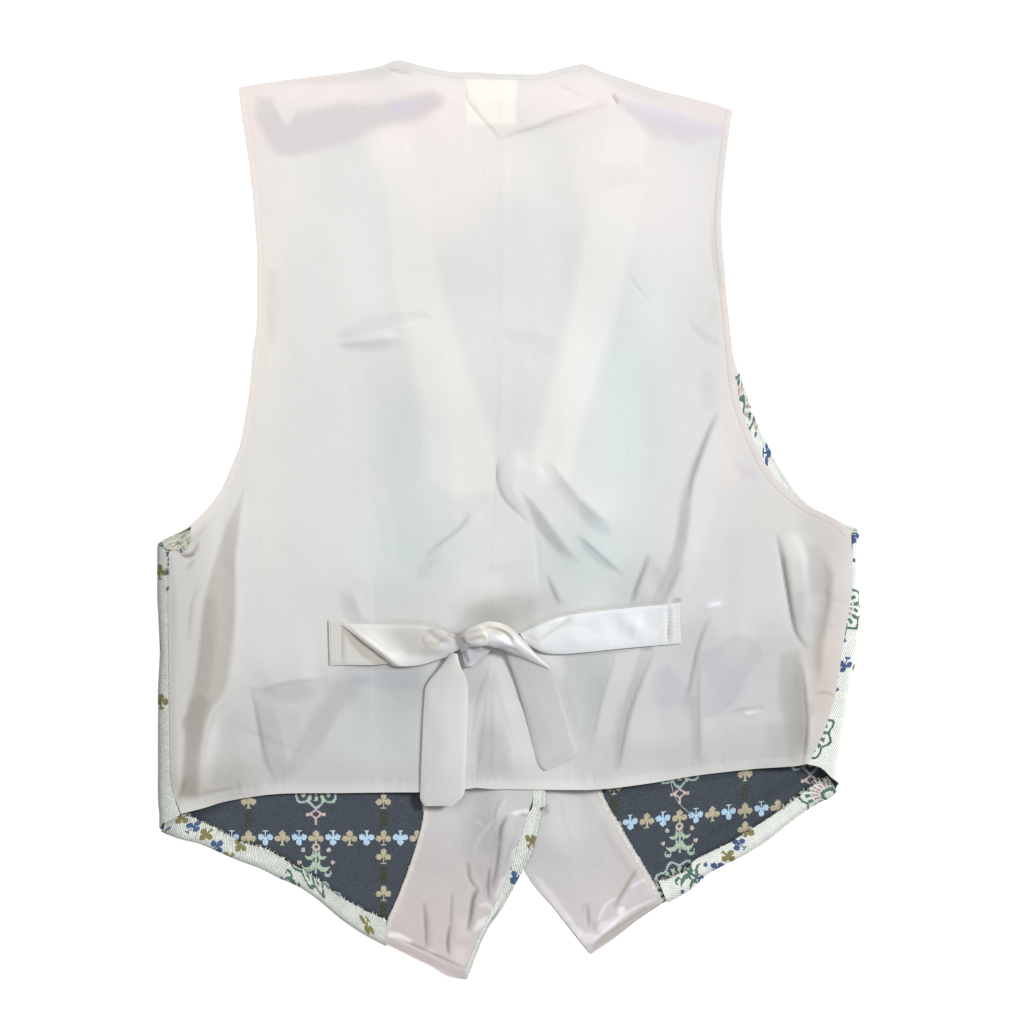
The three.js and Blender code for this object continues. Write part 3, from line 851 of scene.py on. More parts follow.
# Shade on the reverse, as rows for faceted().
REVERSE_SHADE = [
    ("right corner", [
        (198, -167), (208, -168), (216, -172), (222, -178), (224, -184), (211, -177), (201, -174),
    ], 3, 0.45, GREY),
    ("right hem", [
        (132, -225), (153, -213), (194, -186), (211, -177), (201, -172), (180, -186), (160, -201),
        (139, -214),
    ], 6, 0.16, GREY),
    ("below the back", [
        (35.5, -186.5), (97.5, -183.5), (132, -178), (205.5, -168.5), (205.5, -171), (132, -181),
        (97.5, -186.5), (35.5, -189),
    ], 1.4, 0.2, GREY),
    ("left corner", [(-227, -202), (-192, -195), (-205, -204), (-216, -206)], 3, 0.3, GREY),
]


def hem_shadow(side, plane):
    """The raw edge of a hem stands off the reverse and shades it."""
    x, y = plane[..., 0], plane[..., 1]
    gap = nearest(smooth_line(HEM_LINES[side][1], 30), x, y)[0]
    return (1 - 0.4 * np.exp(-((np.abs(gap) / 2.4) ** 2)))[..., None] * faceted(x, y, REVERSE_SHADE)


def front_tint(points, level):
    """The fronts' own colours are lit alike, but for a shadow along the left side."""
    x, y = points[..., 0], points[..., 1]
    shade = 1 - 0.3 * (1 - smoothstep(x, -241, -222)) * (1 - smoothstep(y, -15, 10))
    return (shade * level / LIGHT)[..., None] * np.ones(3)


def cloth_shell(name, side, plane, depth, thickness, materials, rim, cloth=None, level=1.0, shift=(0, 0)):
    """A shell of tapestry, rolled round the side from its unrolled grid."""
    middle = rolled(side, plane, depth)
    cloth = cloth_of(side, plane if cloth is None else cloth) + np.array(shift)
    return shell(name, middle, thickness, materials, front_tint(middle, 1.0) * level, cloth, rim)


fronts = {}
front_cuts = {}
for side in ("left", "right"):
    plane = front_plane(side, *FRONT_STEPS)
    front_cuts[side] = [float(extent) * MM for extent in np.ptp(plane.reshape(-1, 2), axis=0)]
    fronts[side] = cloth_shell(
        f"front {side}",
        side,
        plane,
        TAPESTRY / 2,
        TAPESTRY,
        [reverse, faces[side]],
        1,
        level=hem_shadow(side, plane),
    )
    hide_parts(f"front_{side}")

# A turned edge starts outside the fold, low down, and comes over onto the reverse: rows of how
# far in from the edge, and how far inside the outer face.
TURN = [(-0.9, 0.45), (-1.15, 0.85), (-1.0, 1.3), (-0.3, 1.75), (0.8, 1.85)]
TURNED_DEPTH = 1.85  # of the turned part inside the outer face
TURNED_CLOTH = 0.85  # thickness of the turned part
TURNED_SHARES = np.linspace(0.15, 1, 8)  # of its width, where its rows lie


def turned_strip(name, side, edge, inner, steps, shift, level=1.0):
    """Tapestry turned over an edge of its front onto the reverse, face up.

    The shift moves its pattern, and level is how much lighter than its material it is, as painted
    light. Painted shade across the strip darkens its fold and its raw edge.
    """
    line = border((edge, steps))
    raw = border((inner, steps))
    inward = raw - line
    width = np.linalg.norm(inward, axis=1, keepdims=True)
    inward = inward / width
    rows, depths = [], []
    for offset, depth in TURN:
        rows.append(line + inward * offset)
        depths.append(depth)
    for share in TURNED_SHARES:
        rows.append(line + inward * width * share)
        depths.append(TURNED_DEPTH - 0.15 * share)
    grid = np.stack(rows, 0)
    depth = np.array(depths)[:, None] * np.ones(len(line))
    mirrored = 2 * line[None] - grid
    across = np.r_[np.zeros(len(TURN)), TURNED_SHARES]
    # Painted shade across the strip: darker at the fold and towards the raw edge.
    lit = 0.84 + 0.2 * smoothstep(across, 0, 0.3) - 0.08 * smoothstep(across, 0.8, 1)
    level = level * lit[:, None, None]
    materials = [faces[side], reverse]
    return cloth_shell(name, side, grid, depth, TURNED_CLOTH, materials, 0, mirrored, level, shift)


HEM_SHIFTS = {"left": (11.5, 15.1), "right": (41.7, 39.1)}
hems = {
    side: turned_strip(f"hem {side}", side, *HEM_LINES[side], 170, HEM_SHIFTS[side])
    for side in HEM_LINES
}
armhole_hems = {
    "left": turned_strip(
        "armhole hem left",
        "left",
        FRONT_EDGES["left"]["armhole"],
        [
            (-177, 295.3), (-171.5, 255.3), (-165.9, 213.9), (-163.9, 186.3), (-163.9, 144.9),
            (-165.9, 117.3), (-170.1, 74.5), (-176.3, 44.2), (-186, 13.8), (-194.2, 0), (-201.8, -9.7),
            (-211, -14), (-224, -21), (-236, -25), (-247, -26.5), (-255, -27),
        ],
        150,
        (0, -25),
    ),
    "right": turned_strip(
        "armhole hem right",
        "right",
        FRONT_EDGES["right"]["armhole"],
        [
            (144.6, 276.7), (139.7, 248.4), (137, 213.9), (137.7, 186.3), (139.7, 158.7),
            (142.5, 131.1), (145.9, 114.5), (154.9, 80), (161.8, 60.7), (171.5, 40), (186.6, 15.9),
            (199.1, 2.8), (212.2, -5.5), (224, -13), (233, -18), (243, -20), (252, -21),
        ],
        150,
        (3.5, 20.5),
        # Painted light: the right armhole's hem is made lighter, on the side the light comes from.
        1.12,
    ),
}
# Low down, the turned edge runs off the grain, between the figures.
off_grain = 17 * smoothstep(np.linspace(0, 1, 141), 0.82, 0.9)
turned_edge = turned_strip(
    "turned edge left",
    "left",
    FRONT_EDGES["left"]["opening"][4:13] + [(-29.3, -316.7)],
    [
        (-9, 42), (5, 2), (11.5, -83), (16.9, -185.6), (12.8, -203.5), (5.9, -226.3), (-2.4, -248.4),
        (-9.3, -265), (-18.3, -282.9), (-30.4, -313.3),
    ],
    140,
    np.stack([off_grain - 10.4, 0 * off_grain + 34], 1),
)
for side in ("left", "right"):
    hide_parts(f"hem_{side}")
    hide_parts(f"armhole_hem_{side}")
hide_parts("turned_edge_left")

# --- Facings --------------------------------------------------------------------------------

# Lines on the facings, for lined(): painted shade along creases and folds, painted highlights along
# ridges, curves and turns where the amount is negative, and the stitching and marks.
FACING_LINES = {
    "left": [
        ("by the thread, upper", [(-1, -204), (-4, -209), (-5.5, -214.5), (-6, -222)], 1.3, 0.6, GREY),
        ("by the thread", [(-6, -219.5), (-8, -238.5), (-11.5, -254)], 1.1, 0.48, GREY),
        ("left of it", [(-2.5, -188.5), (-8, -197.5), (-10, -207), (-13.5, -215.5)], 1.1, 0.18, GREY),
        ("left of it, low", [(-8.5, -211), (-9.5, -221), (-10.5, -229)], 1.1, 0.1, GREY),
        ("ridge", [
            (-1, -189.5), (-6, -198.5), (-9.5, -206.5), (-15.5, -213), (-20.5, -219.5), (-25, -232),
        ], 1.1, -0.2, LILAC),
        ("ridge, short", [(-24, -207.5), (-19, -210.5), (-15.5, -213)], 1.1, -0.14, LILAC),
        ("ridge, low", [(-1.5, -219.5), (-4, -236), (-7, -251)], 1.6, -0.12, LILAC),
        ("by the strip", [(7, -225), (1.5, -237.5), (-4.5, -251), (-8.5, -262)], 1.3, -0.2, LILAC),
        ("first", [(-58.5, -264.5), (-57.5, -276), (-57, -286.5), (-57, -296.5)], 1.3, 0.44, GREY),
        ("second", [(-39, -256.5), (-39.5, -267.5), (-40.5, -283)], 1.1, 0.3, GREY),
        ("second, low", [(-40.5, -280), (-42, -291), (-41.5, -301)], 1.3, 0.55, GREY),
        ("third, upper", [(-28, -236), (-27.5, -245), (-25, -251), (-21.5, -255.5)], 1.2, 0.42, WARM),
        ("third", [(-21.5, -255.5), (-24, -260), (-26.5, -276), (-28.5, -284.5)], 1.6, 0.6, GREY),
        ("fourth", [(-13.5, -240), (-14, -251), (-14, -259), (-13.5, -263)], 1.1, 0.46, GREY),
        ("fourth, beside", [(-16, -248.5), (-17, -261)], 1.1, 0.14, GREY),
        ("fold, outlined", [(-21.5, -267), (-15, -265.5), (-11.5, -270), (-14, -272)], 1.1, -0.24,
            LILAC),
        ("stitching", [(-83, -288.5), (-66.5, -293.5), (-29.5, -310.5)], 1.0, 0.34, WARM),
        ("stitching, front", [(10, -197.5), (4, -218), (-4.5, -238.5), (-12, -255.5)], 1.0, 0.08, GREY),
        ("mark", [(8, -203.5), (12, -203)], 1.1, 0.3, GREY),
    ],
    "right": [
        ("diagonal", [(88.5, -241), (76, -262), (73, -269)], 1.3, 0.4, WARM),
        ("curve", [(95, -248.5), (90, -250.5), (86, -253), (84, -256)], 1.2, -0.3, LILAC),
        ("curve, low", [(74, -261), (67.5, -265.5), (64, -271), (61, -278)], 1.2, -0.3, LILAC),
        ("mark", [(54, -264.5), (55, -274), (55.5, -281.5)], 1.1, 0.36, GREY),
        ("mark, left", [(51.5, -265), (50.5, -272.5)], 1.1, 0.16, GREY),
        ("mark, right", [(59, -277.5), (59.5, -286.5)], 1.1, 0.2, WARM),
        ("hem, turn", [(102, -261.5), (90.5, -266.5), (80.5, -272.5), (56, -292.5)], 1.2, -0.36, LILAC),
        ("hem stitching", [(57.5, -295.5), (63, -290), (72, -283.5), (90.5, -271), (102.5, -265)], 1.1,
            0.34, WARM),
        ("upper", [(35.5, -193), (39.5, -214), (46, -227.5)], 1.4, 0.07, GREY),
    ],
}
# Facets of the facings, for faceted(): the gloss rows and the others with negative amounts are painted
# highlights, and the rest are painted shade, but for the darker buttonhole and hem bands.
FACING_FACETS = {
    "left": [
        ("gloss, highest", [
            (1.5, -202), (5, -200), (13.5, -199), (15.5, -201), (9.5, -202), (4, -203.5),
        ], 1.2, -0.45, LILAC),
        ("gloss, by the strip", [(2.5, -227), (6, -225), (4, -232), (0.5, -236)], 1.2, -0.26, LILAC),
        ("gloss, high", [(-20.5, -265.5), (-15, -265), (-12, -269), (-17, -268.5)], 1.6, -0.16, LILAC),
        ("gloss, middle", [
            (-24.5, -283.5), (-21, -276.5), (-17, -274.5), (-10.5, -273), (-16, -280), (-21, -283.5),
        ], 1.4, -0.42, LILAC),
        ("gloss, low", [(-39, -298), (-35, -294), (-29, -297), (-29, -305), (-33, -308), (-38, -304)],
            2.4, -0.12, LILAC),
        ("gloss, hem", [
            (-83, -284), (-75, -285.5), (-66.5, -290), (-67.5, -293), (-75.5, -290.5), (-83, -287.5),
        ], 1.2, -0.5, LILAC),
        ("gloss, hem, small", [(-57, -295.5), (-50, -297.5), (-51.5, -300), (-57, -299)], 1.4, -0.2,
            LILAC),
        ("gloss, front", [(-5, -247), (-1.5, -245.5), (-5, -258), (-8.5, -263.5), (-10, -259.5)], 1.4,
            -0.3, LILAC),
        ("olive light", [(-36, -275), (-29, -274), (-25, -277), (-28, -288), (-35, -290)], 2.4, -0.08,
            COOL),
        ("wedge", [(-21, -254), (-19.5, -256.5), (-23, -262), (-26, -265), (-24.5, -259.5)], 1.2, 0.2,
            GREY),
        ("right of the first", [(-56, -272.5), (-54, -274.5), (-53, -294), (-56, -295.5)], 2, 0.08,
            WARM),
        ("between the puckers", [(-39, -248.5), (-29.5, -248.5), (-28, -272.5), (-36, -274)], 2.4, 0.02,
            GREY),
        ("upper", [(-37, -206), (-13, -204), (-16, -224), (-27, -236), (-35, -228)], 6, 0.07, COOL),
        ("by the tail", [(-58.5, -189.5), (-32, -187.5), (-29.5, -197.5), (-58.5, -201.5)], 3, 0.04,
            GREY),
        ("hem", [
            (-84.5, -290), (-66.5, -295.5), (-54, -301), (-40.5, -307.5), (-29.5, -312),
            (-30.5, -317.5), (-50, -309), (-84.5, -293),
        ], 1.2, 0.15, WARM),
        ("outer edge", [
            (-58.5, -201.5), (-55, -201.5), (-61, -227.5), (-72, -259), (-80.5, -279.5), (-84.5, -283),
            (-68, -236),
        ], 1.6, -0.12, COOL),
    ],
    "right": [
        ("gloss", [(76, -267.5), (79.5, -267), (81, -270.5), (77.5, -273), (75, -272)], 1.2, -0.5,
            LILAC),
        ("gloss, soft", [
            (61, -283.5), (64.5, -277.5), (71.5, -275.5), (78.5, -272), (73, -279), (65, -285),
        ], 2, -0.3, LILAC),
        ("gloss, corner", [
            (48, -281.5), (53.5, -285.5), (59, -285), (62, -287.5), (56, -293), (52, -292.5),
        ], 2, -0.3, LILAC),
        ("gloss, front", [
            (17.5, -245.5), (23, -248.5), (30, -256.5), (37, -266.5), (42.5, -276), (39.5, -277.5),
            (23, -255.5),
        ], 1.6, -0.24, LILAC),
        ("gloss, low front", [(39.5, -270.5), (45, -277.5), (50.5, -287), (49.5, -290), (44, -283)],
            1.4, -0.3, LILAC),
        ("right of the diagonal", [
            (88, -245.5), (96.5, -250), (102, -258), (90.5, -263.5), (81, -267.5), (75.5, -265),
            (82.5, -255.5),
        ], 2, -0.06, LILAC),
        ("upper", [(26, -190), (60, -188), (66, -207), (49, -228), (29, -214)], 6, -0.03, COOL),
        ("hem", [(57, -297.5), (63, -291), (90.5, -272.5), (105, -264.5), (73, -288.5)], 1.0, 0.2,
            WARM),
        ("outer edge", [
            (55, -188.5), (62.5, -187), (98.5, -247.5), (105, -261.5), (101, -261.5), (90.5, -247),
            (71.5, -218),
        ], 2, -0.1, COOL),
        ("outer edge, dim", [(67, -214), (76, -225), (95, -253), (89, -251), (74, -232)], 3, 0.06,
            WARM),
        ("buttonhole", [(23, -196.5), (27.5, -196), (28, -202), (24.5, -204)], 1.6, 0.28, WARM),
        ("beside the strip", [(22.5, -193), (25, -194.5), (16, -232), (14, -233), (17.5, -218)], 1.6,
            0.14, GREY),
    ],
}
FACING_EDGES = {
    "left": {
        "outer, upper": [
            (-108, 306), (-92, 222), (-70, 150), (-55, 76), (-53, 20), (-53, -30), (-56, -95),
            (-60, -150),
        ],
        "outer": [
            (-60, -150), (-60.4, -188.4), (-59, -206.3), (-67.3, -236), (-76.9, -261.5),
            (-83.8, -277.4), (-85.2, -292.6),
        ],
        "opening, upper": [
            (-76, 311), (-67, 236), (-44, 156), (-20, 91), (-9, 45), (5, 5), (11.5, -83), (15, -150),
        ],
        "opening": [
            (15, -150), (17.2, -185.6), (13.1, -203.5), (6.2, -226.3), (-2, -248.4), (-8.9, -265),
            (-17.9, -282.9), (-30, -316.7),
        ],
        "hem": [(-85.2, -292.6), (-66.6, -301.9), (-51.4, -309.5), (-42.4, -315), (-30.7, -316.7)],
    },
    "right": {
        "opening, upper": [
            (53, 307), (48, 236), (36, 156), (20, 91), (3, 45), (-10.5, 5), (-6.5, -83), (-5, -150),
        ],
        "opening": [
            (-5, -150), (-2.5, -186), (10.3, -240.1), (32.8, -269.8), (53.5, -296), (57.6, -299.8),
        ],
        "outer, upper": [
            (86, 297), (84, 222), (75, 150), (62, 76), (57, 20), (57, -30), (58, -95), (60, -150),
        ],
        "outer": [(60, -150), (63.8, -185.6), (79, -214.6), (99, -248.4), (106.6, -263.6)],
        "hem": [(57.6, -299.8), (73.5, -288.8), (90.7, -275.3), (106.6, -263.6)],
    },
}
# The facings' colours as they look lit, for painted(), with their light and shade painted in.
FACING_ZONES = [
    ("upper", (-23.1, -198.7), (34, 18), (214, 214, 214), 2.0),
    ("lower left", (-61.1, -279.4), (30, 25), (208, 197, 194), 1.5),
    ("lower middle", (-33.5, -282.9), (18, 30), (214, 206, 204), 1.0),
    ("hem corner", (-47.3, -303.6), (30, 10), (219, 204, 206), 1.5),
    ("right upper", (34.2, -212.5), (35, 30), (205, 207, 208), 2.0),
    ("right lower", (63.1, -269.1), (30, 30), (216, 211, 213), 1.5),
]

FACING_REST = TAPESTRY + 0.1  # how far inside the outer face a facing starts
facings = {}
for side in ("left", "right"):
    edges = FACING_EDGES[side]
    lines = []
    for name in ("outer", "opening"):
        lines.append(border((edges[f"{name}, upper"], 110), (edges[name], 230)))
    first, last = lines if side == "left" else lines[::-1]
    top = border(([first[0], last[0]], 54))
    hem = border((edges["hem"], 54))
    plane = filled(top, hem, first, last)
    x, y = plane[..., 0], plane[..., 1]
    low = 1 - smoothstep(y, -175, -150)
    off = np.abs(nearest(border((edges["hem"], 40)), x, y)[0])
    light, sunk = lined(x, y, FACING_LINES[side])
    relief = 0.3 + 0.3 * (1 - smoothstep(off, 5, 7)) - 1.1 * np.maximum(sunk, -0.3)
    depth = FACING_REST + SATIN / 2 + low * np.maximum(relief, 0)
    # The facings' colour: zones as lit, times the painted shade and highlights of their lines and facets.
    tint = painted(x, y, (198, 194, 193), FACING_ZONES) * light * faceted(x, y, FACING_FACETS[side])
    facings[side] = shell(f"facing {side}", rolled(side, plane, depth), SATIN, [facing_satin], tint)
    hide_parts(f"facing_{side}")

# --- Back -----------------------------------------------------------------------------------

BACK_SEAM = [
    (-5.9, 308.4), (-5.9, 220.8), (-5.9, 138), (-7.9, 48.3), (-10.7, -27.6), (-13.5, -100),
    (-18.3, -151.8), (-22.4, -184.2),
]
BACK_EDGES = {
    "left": {
        "top": [
            (-5.9, 308.4), (-21, 309.5), (-36.9, 309.5), (-47.3, 311.2), (-61.1, 314.3), (-76.2, 317.7),
            (-88.7, 313.6), (-102.5, 310.8), (-116.3, 308.8), (-130.1, 307), (-143.9, 305.3),
            (-157.7, 303.6), (-171.5, 301.5), (-186.6, 298.8),
        ],
        "armhole": [
            (-186.6, 298.8), (-184.6, 282.9), (-182.5, 269.1), (-180.4, 255.3), (-178.4, 241.5),
            (-177, 227.7), (-175.6, 213.9), (-174.6, 200.1), (-173.5, 186.3), (-173.5, 165.6),
            (-173.5, 144.9), (-174.2, 131.1), (-176.3, 117.3), (-177.7, 100), (-179.7, 82.8),
            (-182.5, 65.5), (-186, 49.7), (-192.2, 34.5), (-198.4, 20.7), (-208, 7.6), (-218.4, -2.8),
            (-229.4, -11), (-233.6, -15.9),
        ],
        "side": [
            (-233.9, -16.6), (-234.3, -55.2), (-233.9, -89.7), (-233.4, -124.2), (-232.9, -158.7),
            (-231.8, -182.8), (-225.6, -202.2),
        ],
        "hem": [
            (-22.4, -184.2), (-40.4, -186.6), (-60.4, -187.7), (-109.4, -188.4), (-159, -189.1),
            (-192.9, -193.9), (-209.4, -198.4), (-225.3, -202.2),
        ],
    },
    "right": {
        "top": [
            (-5.9, 308.4), (7.9, 308.1), (21.7, 308.4), (35.5, 311.9), (51.4, 315), (63.1, 310.5),
            (76.9, 305.7), (90.7, 301.2), (104.5, 296.7), (118.3, 293.6), (132.1, 290.1),
            (145.9, 286.3), (154.9, 282.9),
        ],
        "armhole": [
            (154.9, 282.9), (152.8, 269.1), (150.8, 255.3), (149.4, 241.5), (148, 227.7),
            (147.3, 213.9), (147.3, 200.1), (148, 186.3), (149.4, 172.5), (150.4, 158.7),
            (151.8, 144.9), (153.2, 131.1), (154.9, 115.9), (157.7, 89.7), (162.5, 72.4), (168, 58),
            (174.2, 44.2), (181.1, 33.1), (188.7, 24.1), (198.4, 15.5), (208.7, 8.6), (219.1, 3.8),
            (228.7, -1.7), (235.6, -9),
        ],
        "side": [
            (235.6, -9), (237, -34.5), (236, -51.1), (233.7, -65.5), (231.3, -80), (227.8, -102.8),
            (224.4, -122.8), (220.1, -136.6), (216, -147.7), (206.7, -167.3),
        ],
        "hem": [
            (-22.4, -184.2), (-9.3, -185.3), (2.4, -185.3), (32.8, -185.6), (63.1, -185.3),
            (97.6, -181.5), (128.7, -176.3), (166.6, -171.8), (188.7, -169.9), (199.1, -168.8),
            (206, -167),
        ],
    },
}
BACK_CREASES = [
    ("seam, low", [(15.5, 0), (19, -17), (20.5, -34.5), (22.5, -55)], 1.3, -0.4, 0),
    ("glint, upper", [(133.5, -60.5), (147.5, -57.5)], 2.2, 0.6, 0),
    ("glint, lower", [(159, -133), (174, -132)], 2.2, 0.6, 0),
    ("above the strap", [(90.5, -27.5), (101, -41.5), (104.5, -55)], 5, -0.4, 0),
    ("upper left, broad", [(-113, 234.5), (-97, 186.5), (-94, 145)], 16, -0.5, 0),
    ("right of the seam, broad", [(25, 255.5), (35.5, 200), (27.5, 138)], 14, -0.6, 0),
    ("lower middle, broad", [(-6, -27.5), (-2.5, -48.5), (-2.5, -62)], 12, -0.9, 0),
    ("left, low, broad", [(-197.5, -135), (-203, -165.5), (-207.5, -186.5)], 5, -0.5, 0),
]
# Sharp creases, and the shadows beside the belt, as painted shade: rows of (name, points, half
# width, how much darker, hue). Their darkness also sinks the back a little.
BACK_LINES = [
    ("neck, left", [(-29.5, 300), (-28.5, 290.5), (-23, 283), (-10, 267.5), (-6.5, 261)], 1.1, 0.19,
        GREY),
    ("neck, upper right", [(30.5, 302), (42.5, 296.5), (56, 290.5)], 1.1, 0.09, WARM),
    ("neck, right", [(-6, 263), (8.5, 268.5), (22.5, 272.5), (36, 278), (67.5, 287)], 1.2, 0.22, GREY),
    ("neck notch", [(71.5, 294), (73.5, 290.5), (76, 287)], 1.1, 0.41, WARM),
    ("left shoulder", [(-84, 312), (-77, 310), (-66.5, 308.5)], 1.1, 0.29, WARM),
    ("upper right", [(82.5, 169.5), (89.5, 160), (97.5, 152)], 1.1, 0.10, GREY),
    ("neckline, first", [(-6, 45), (-8.5, 34.5), (-7, 23.5), (-3, 14.5), (4, 7.5), (14, -1.5)], 1.1,
        0.20, GREY),
    ("left of the seam", [(-26.5, 4), (-34, -6), (-52, -20), (-58.5, -27.5)], 1.1, 0.22, GREY),
    ("neckline, third", [(44, -10.5), (53.5, -16), (79.5, -39.5)], 1.1, 0.2, COOL),
    ("below the first", [(26, -37.5), (30, -47), (35, -58)], 1.5, 0.23, GREY),
    ("by the strap", [(97, -23.5), (93, -34.5), (88, -47), (84, -59.5)], 1.6, 0.38, GREY),
    ("armhole to waist", [(144.5, 74), (137.5, 59.5), (126.5, 29), (124, 14)], 1.2, 0.38, GREY),
    ("armhole to waist, low", [(121, -27.5), (115, -40), (108.5, -52.5), (106, -59.5)], 1.4, 0.23,
        GREY),
    ("right side", [(184.5, -10.5), (187.5, -20), (196.5, -70.5), (200.5, -81.5), (206, -89)], 1.3,
        0.55, GREY),
    ("right side, seam", [(200.5, -98), (203, -107), (204.5, -124), (205.5, -142), (202.5, -171)], 1.1,
        0.46, GREY),
    ("side pleat", [(218.5, -45.5), (220, -56.5), (217.5, -70.5), (215.5, -84)], 1.8, 0.2, GREY),
    ("side pleat, seam", [(221, -53), (226, -55), (230, -56)], 1.1, 0.12, WARM),
    ("side pleat, low", [(210, -120), (215, -119), (220.5, -119.5), (224, -122)], 1.1, 0.24, WARM),
    ("side pleat, lower", [(205.5, -125.5), (208.5, -129.5), (206.5, -137.5)], 1.3, 0.14, WARM),
    ("below the strap, right", [(139, -67), (134, -77.5), (130, -89.5), (124, -120)], 1.1, 0.29, GREY),
    ("hem fold, right", [(132, -91), (131.5, -117.5), (131.5, -148.5), (132, -171)], 1.1, 0.14, GREY),
    ("below the strap, middle", [(101, -89.5), (88.5, -118.5), (83, -134), (79, -153), (75.5, -172.5)],
        1.1, 0.29, GREY),
    ("below the strap, left", [(73.5, -92), (68, -110.5), (63, -127), (58.5, -149.5)], 1.1, 0.20, GREY),
    ("glint", [(151.5, -133), (163, -130.5), (176.5, -129.5)], 1.1, 0.20, GREY),
    ("tent", [(-177.5, -116), (-173.5, -135), (-170, -154.5), (-165.5, -171), (-159, -183)], 1.1, 0.22,
        GREY),
    ("shelf", [(-180.5, -115), (-170, -117.5), (-156.5, -113), (-139.5, -111), (-123, -109.5)], 1.1,
        0.13, MAUVE),
    ("left band, left", [(-214, -44), (-218.5, -59.5), (-220.5, -84)], 1.1, 0.19, GREY),
    ("left band, foot", [(-222, -135), (-224, -139.5), (-224, -145)], 1.1, 0.29, GREY),
    ("left hem", [(-224, -192.5), (-213, -189), (-199, -186.5), (-184.5, -184)], 1.1, 0.20, WARM),
    ("left hem, upright", [(-187.5, -178), (-186, -186.5), (-185.5, -191)], 1.1, 0.14, WARM),
    ("underarm, left", [(-226.5, -23.5), (-223, -25), (-219, -24.5), (-215.5, -20), (-214, -14.5)], 1.1,
        0.42, WARM),
    ("underarm, left, dark", [(-225.5, -24), (-221, -25), (-216.5, -23)], 1.3, 0.4, GREY),
    ("underarm, left, lower", [(-223, -35), (-220, -31.5), (-216.5, -27.5)], 1.1, 0.24, WARM),
    ("underarm, left, upper", [(-218.5, -14.5), (-213, -9.5), (-208.5, -4)], 1.1, 0.12, WARM),
    ("below the knot", [(-11.5, -107.5), (-11.5, -138), (-12, -182)], 1.1, 0.12, GREY),
    ("under the right strap", [(33, -93.5), (63, -91.5), (90.5, -88.5), (100.5, -87.5)], 1.3, 0.22,
        GREY),
    ("under the right strap, dark", [(90.5, -89.5), (94, -89.5), (99, -88.5)], 1.2, 0.3, GREY),
    ("under the left strap", [(-115, -101.5), (-88.5, -102), (-64.5, -101.5), (-50, -96.5)], 1.3, 0.22,
        GREY),
    ("over the left strap", [(-113, -70.5), (-61, -70.5), (-47.5, -74), (-36, -80)], 1.1, 0.14, WARM),
    ("over the right strap", [(9.5, -76), (21.5, -69.5), (35.5, -65), (63, -61), (110, -56.5)], 1.1,
        0.18, WARM),
    ("strap end, tack", [(112, -56.5), (115, -56), (119.5, -55)], 1.1, 0.45, GREY),
    ("between the tails", [(-13, -99.5), (-17, -110.5), (-21.5, -124), (-24.5, -145)], 1.1, 0.14, GREY),
    ("between the tails, right", [(-11.5, -102), (-8, -117.5), (-2.5, -134.5), (4, -155)], 1.1, 0.1,
        GREY),
    ("left of the tent", [(-193.5, -124), (-203, -135), (-208.5, -150.5), (-211, -168.5)], 1.1, 0.12,
        WARM),
    ("left foot", [(-228.5, -193), (-224.5, -184), (-222.5, -176.5)], 1.1, 0.25, WARM),
]
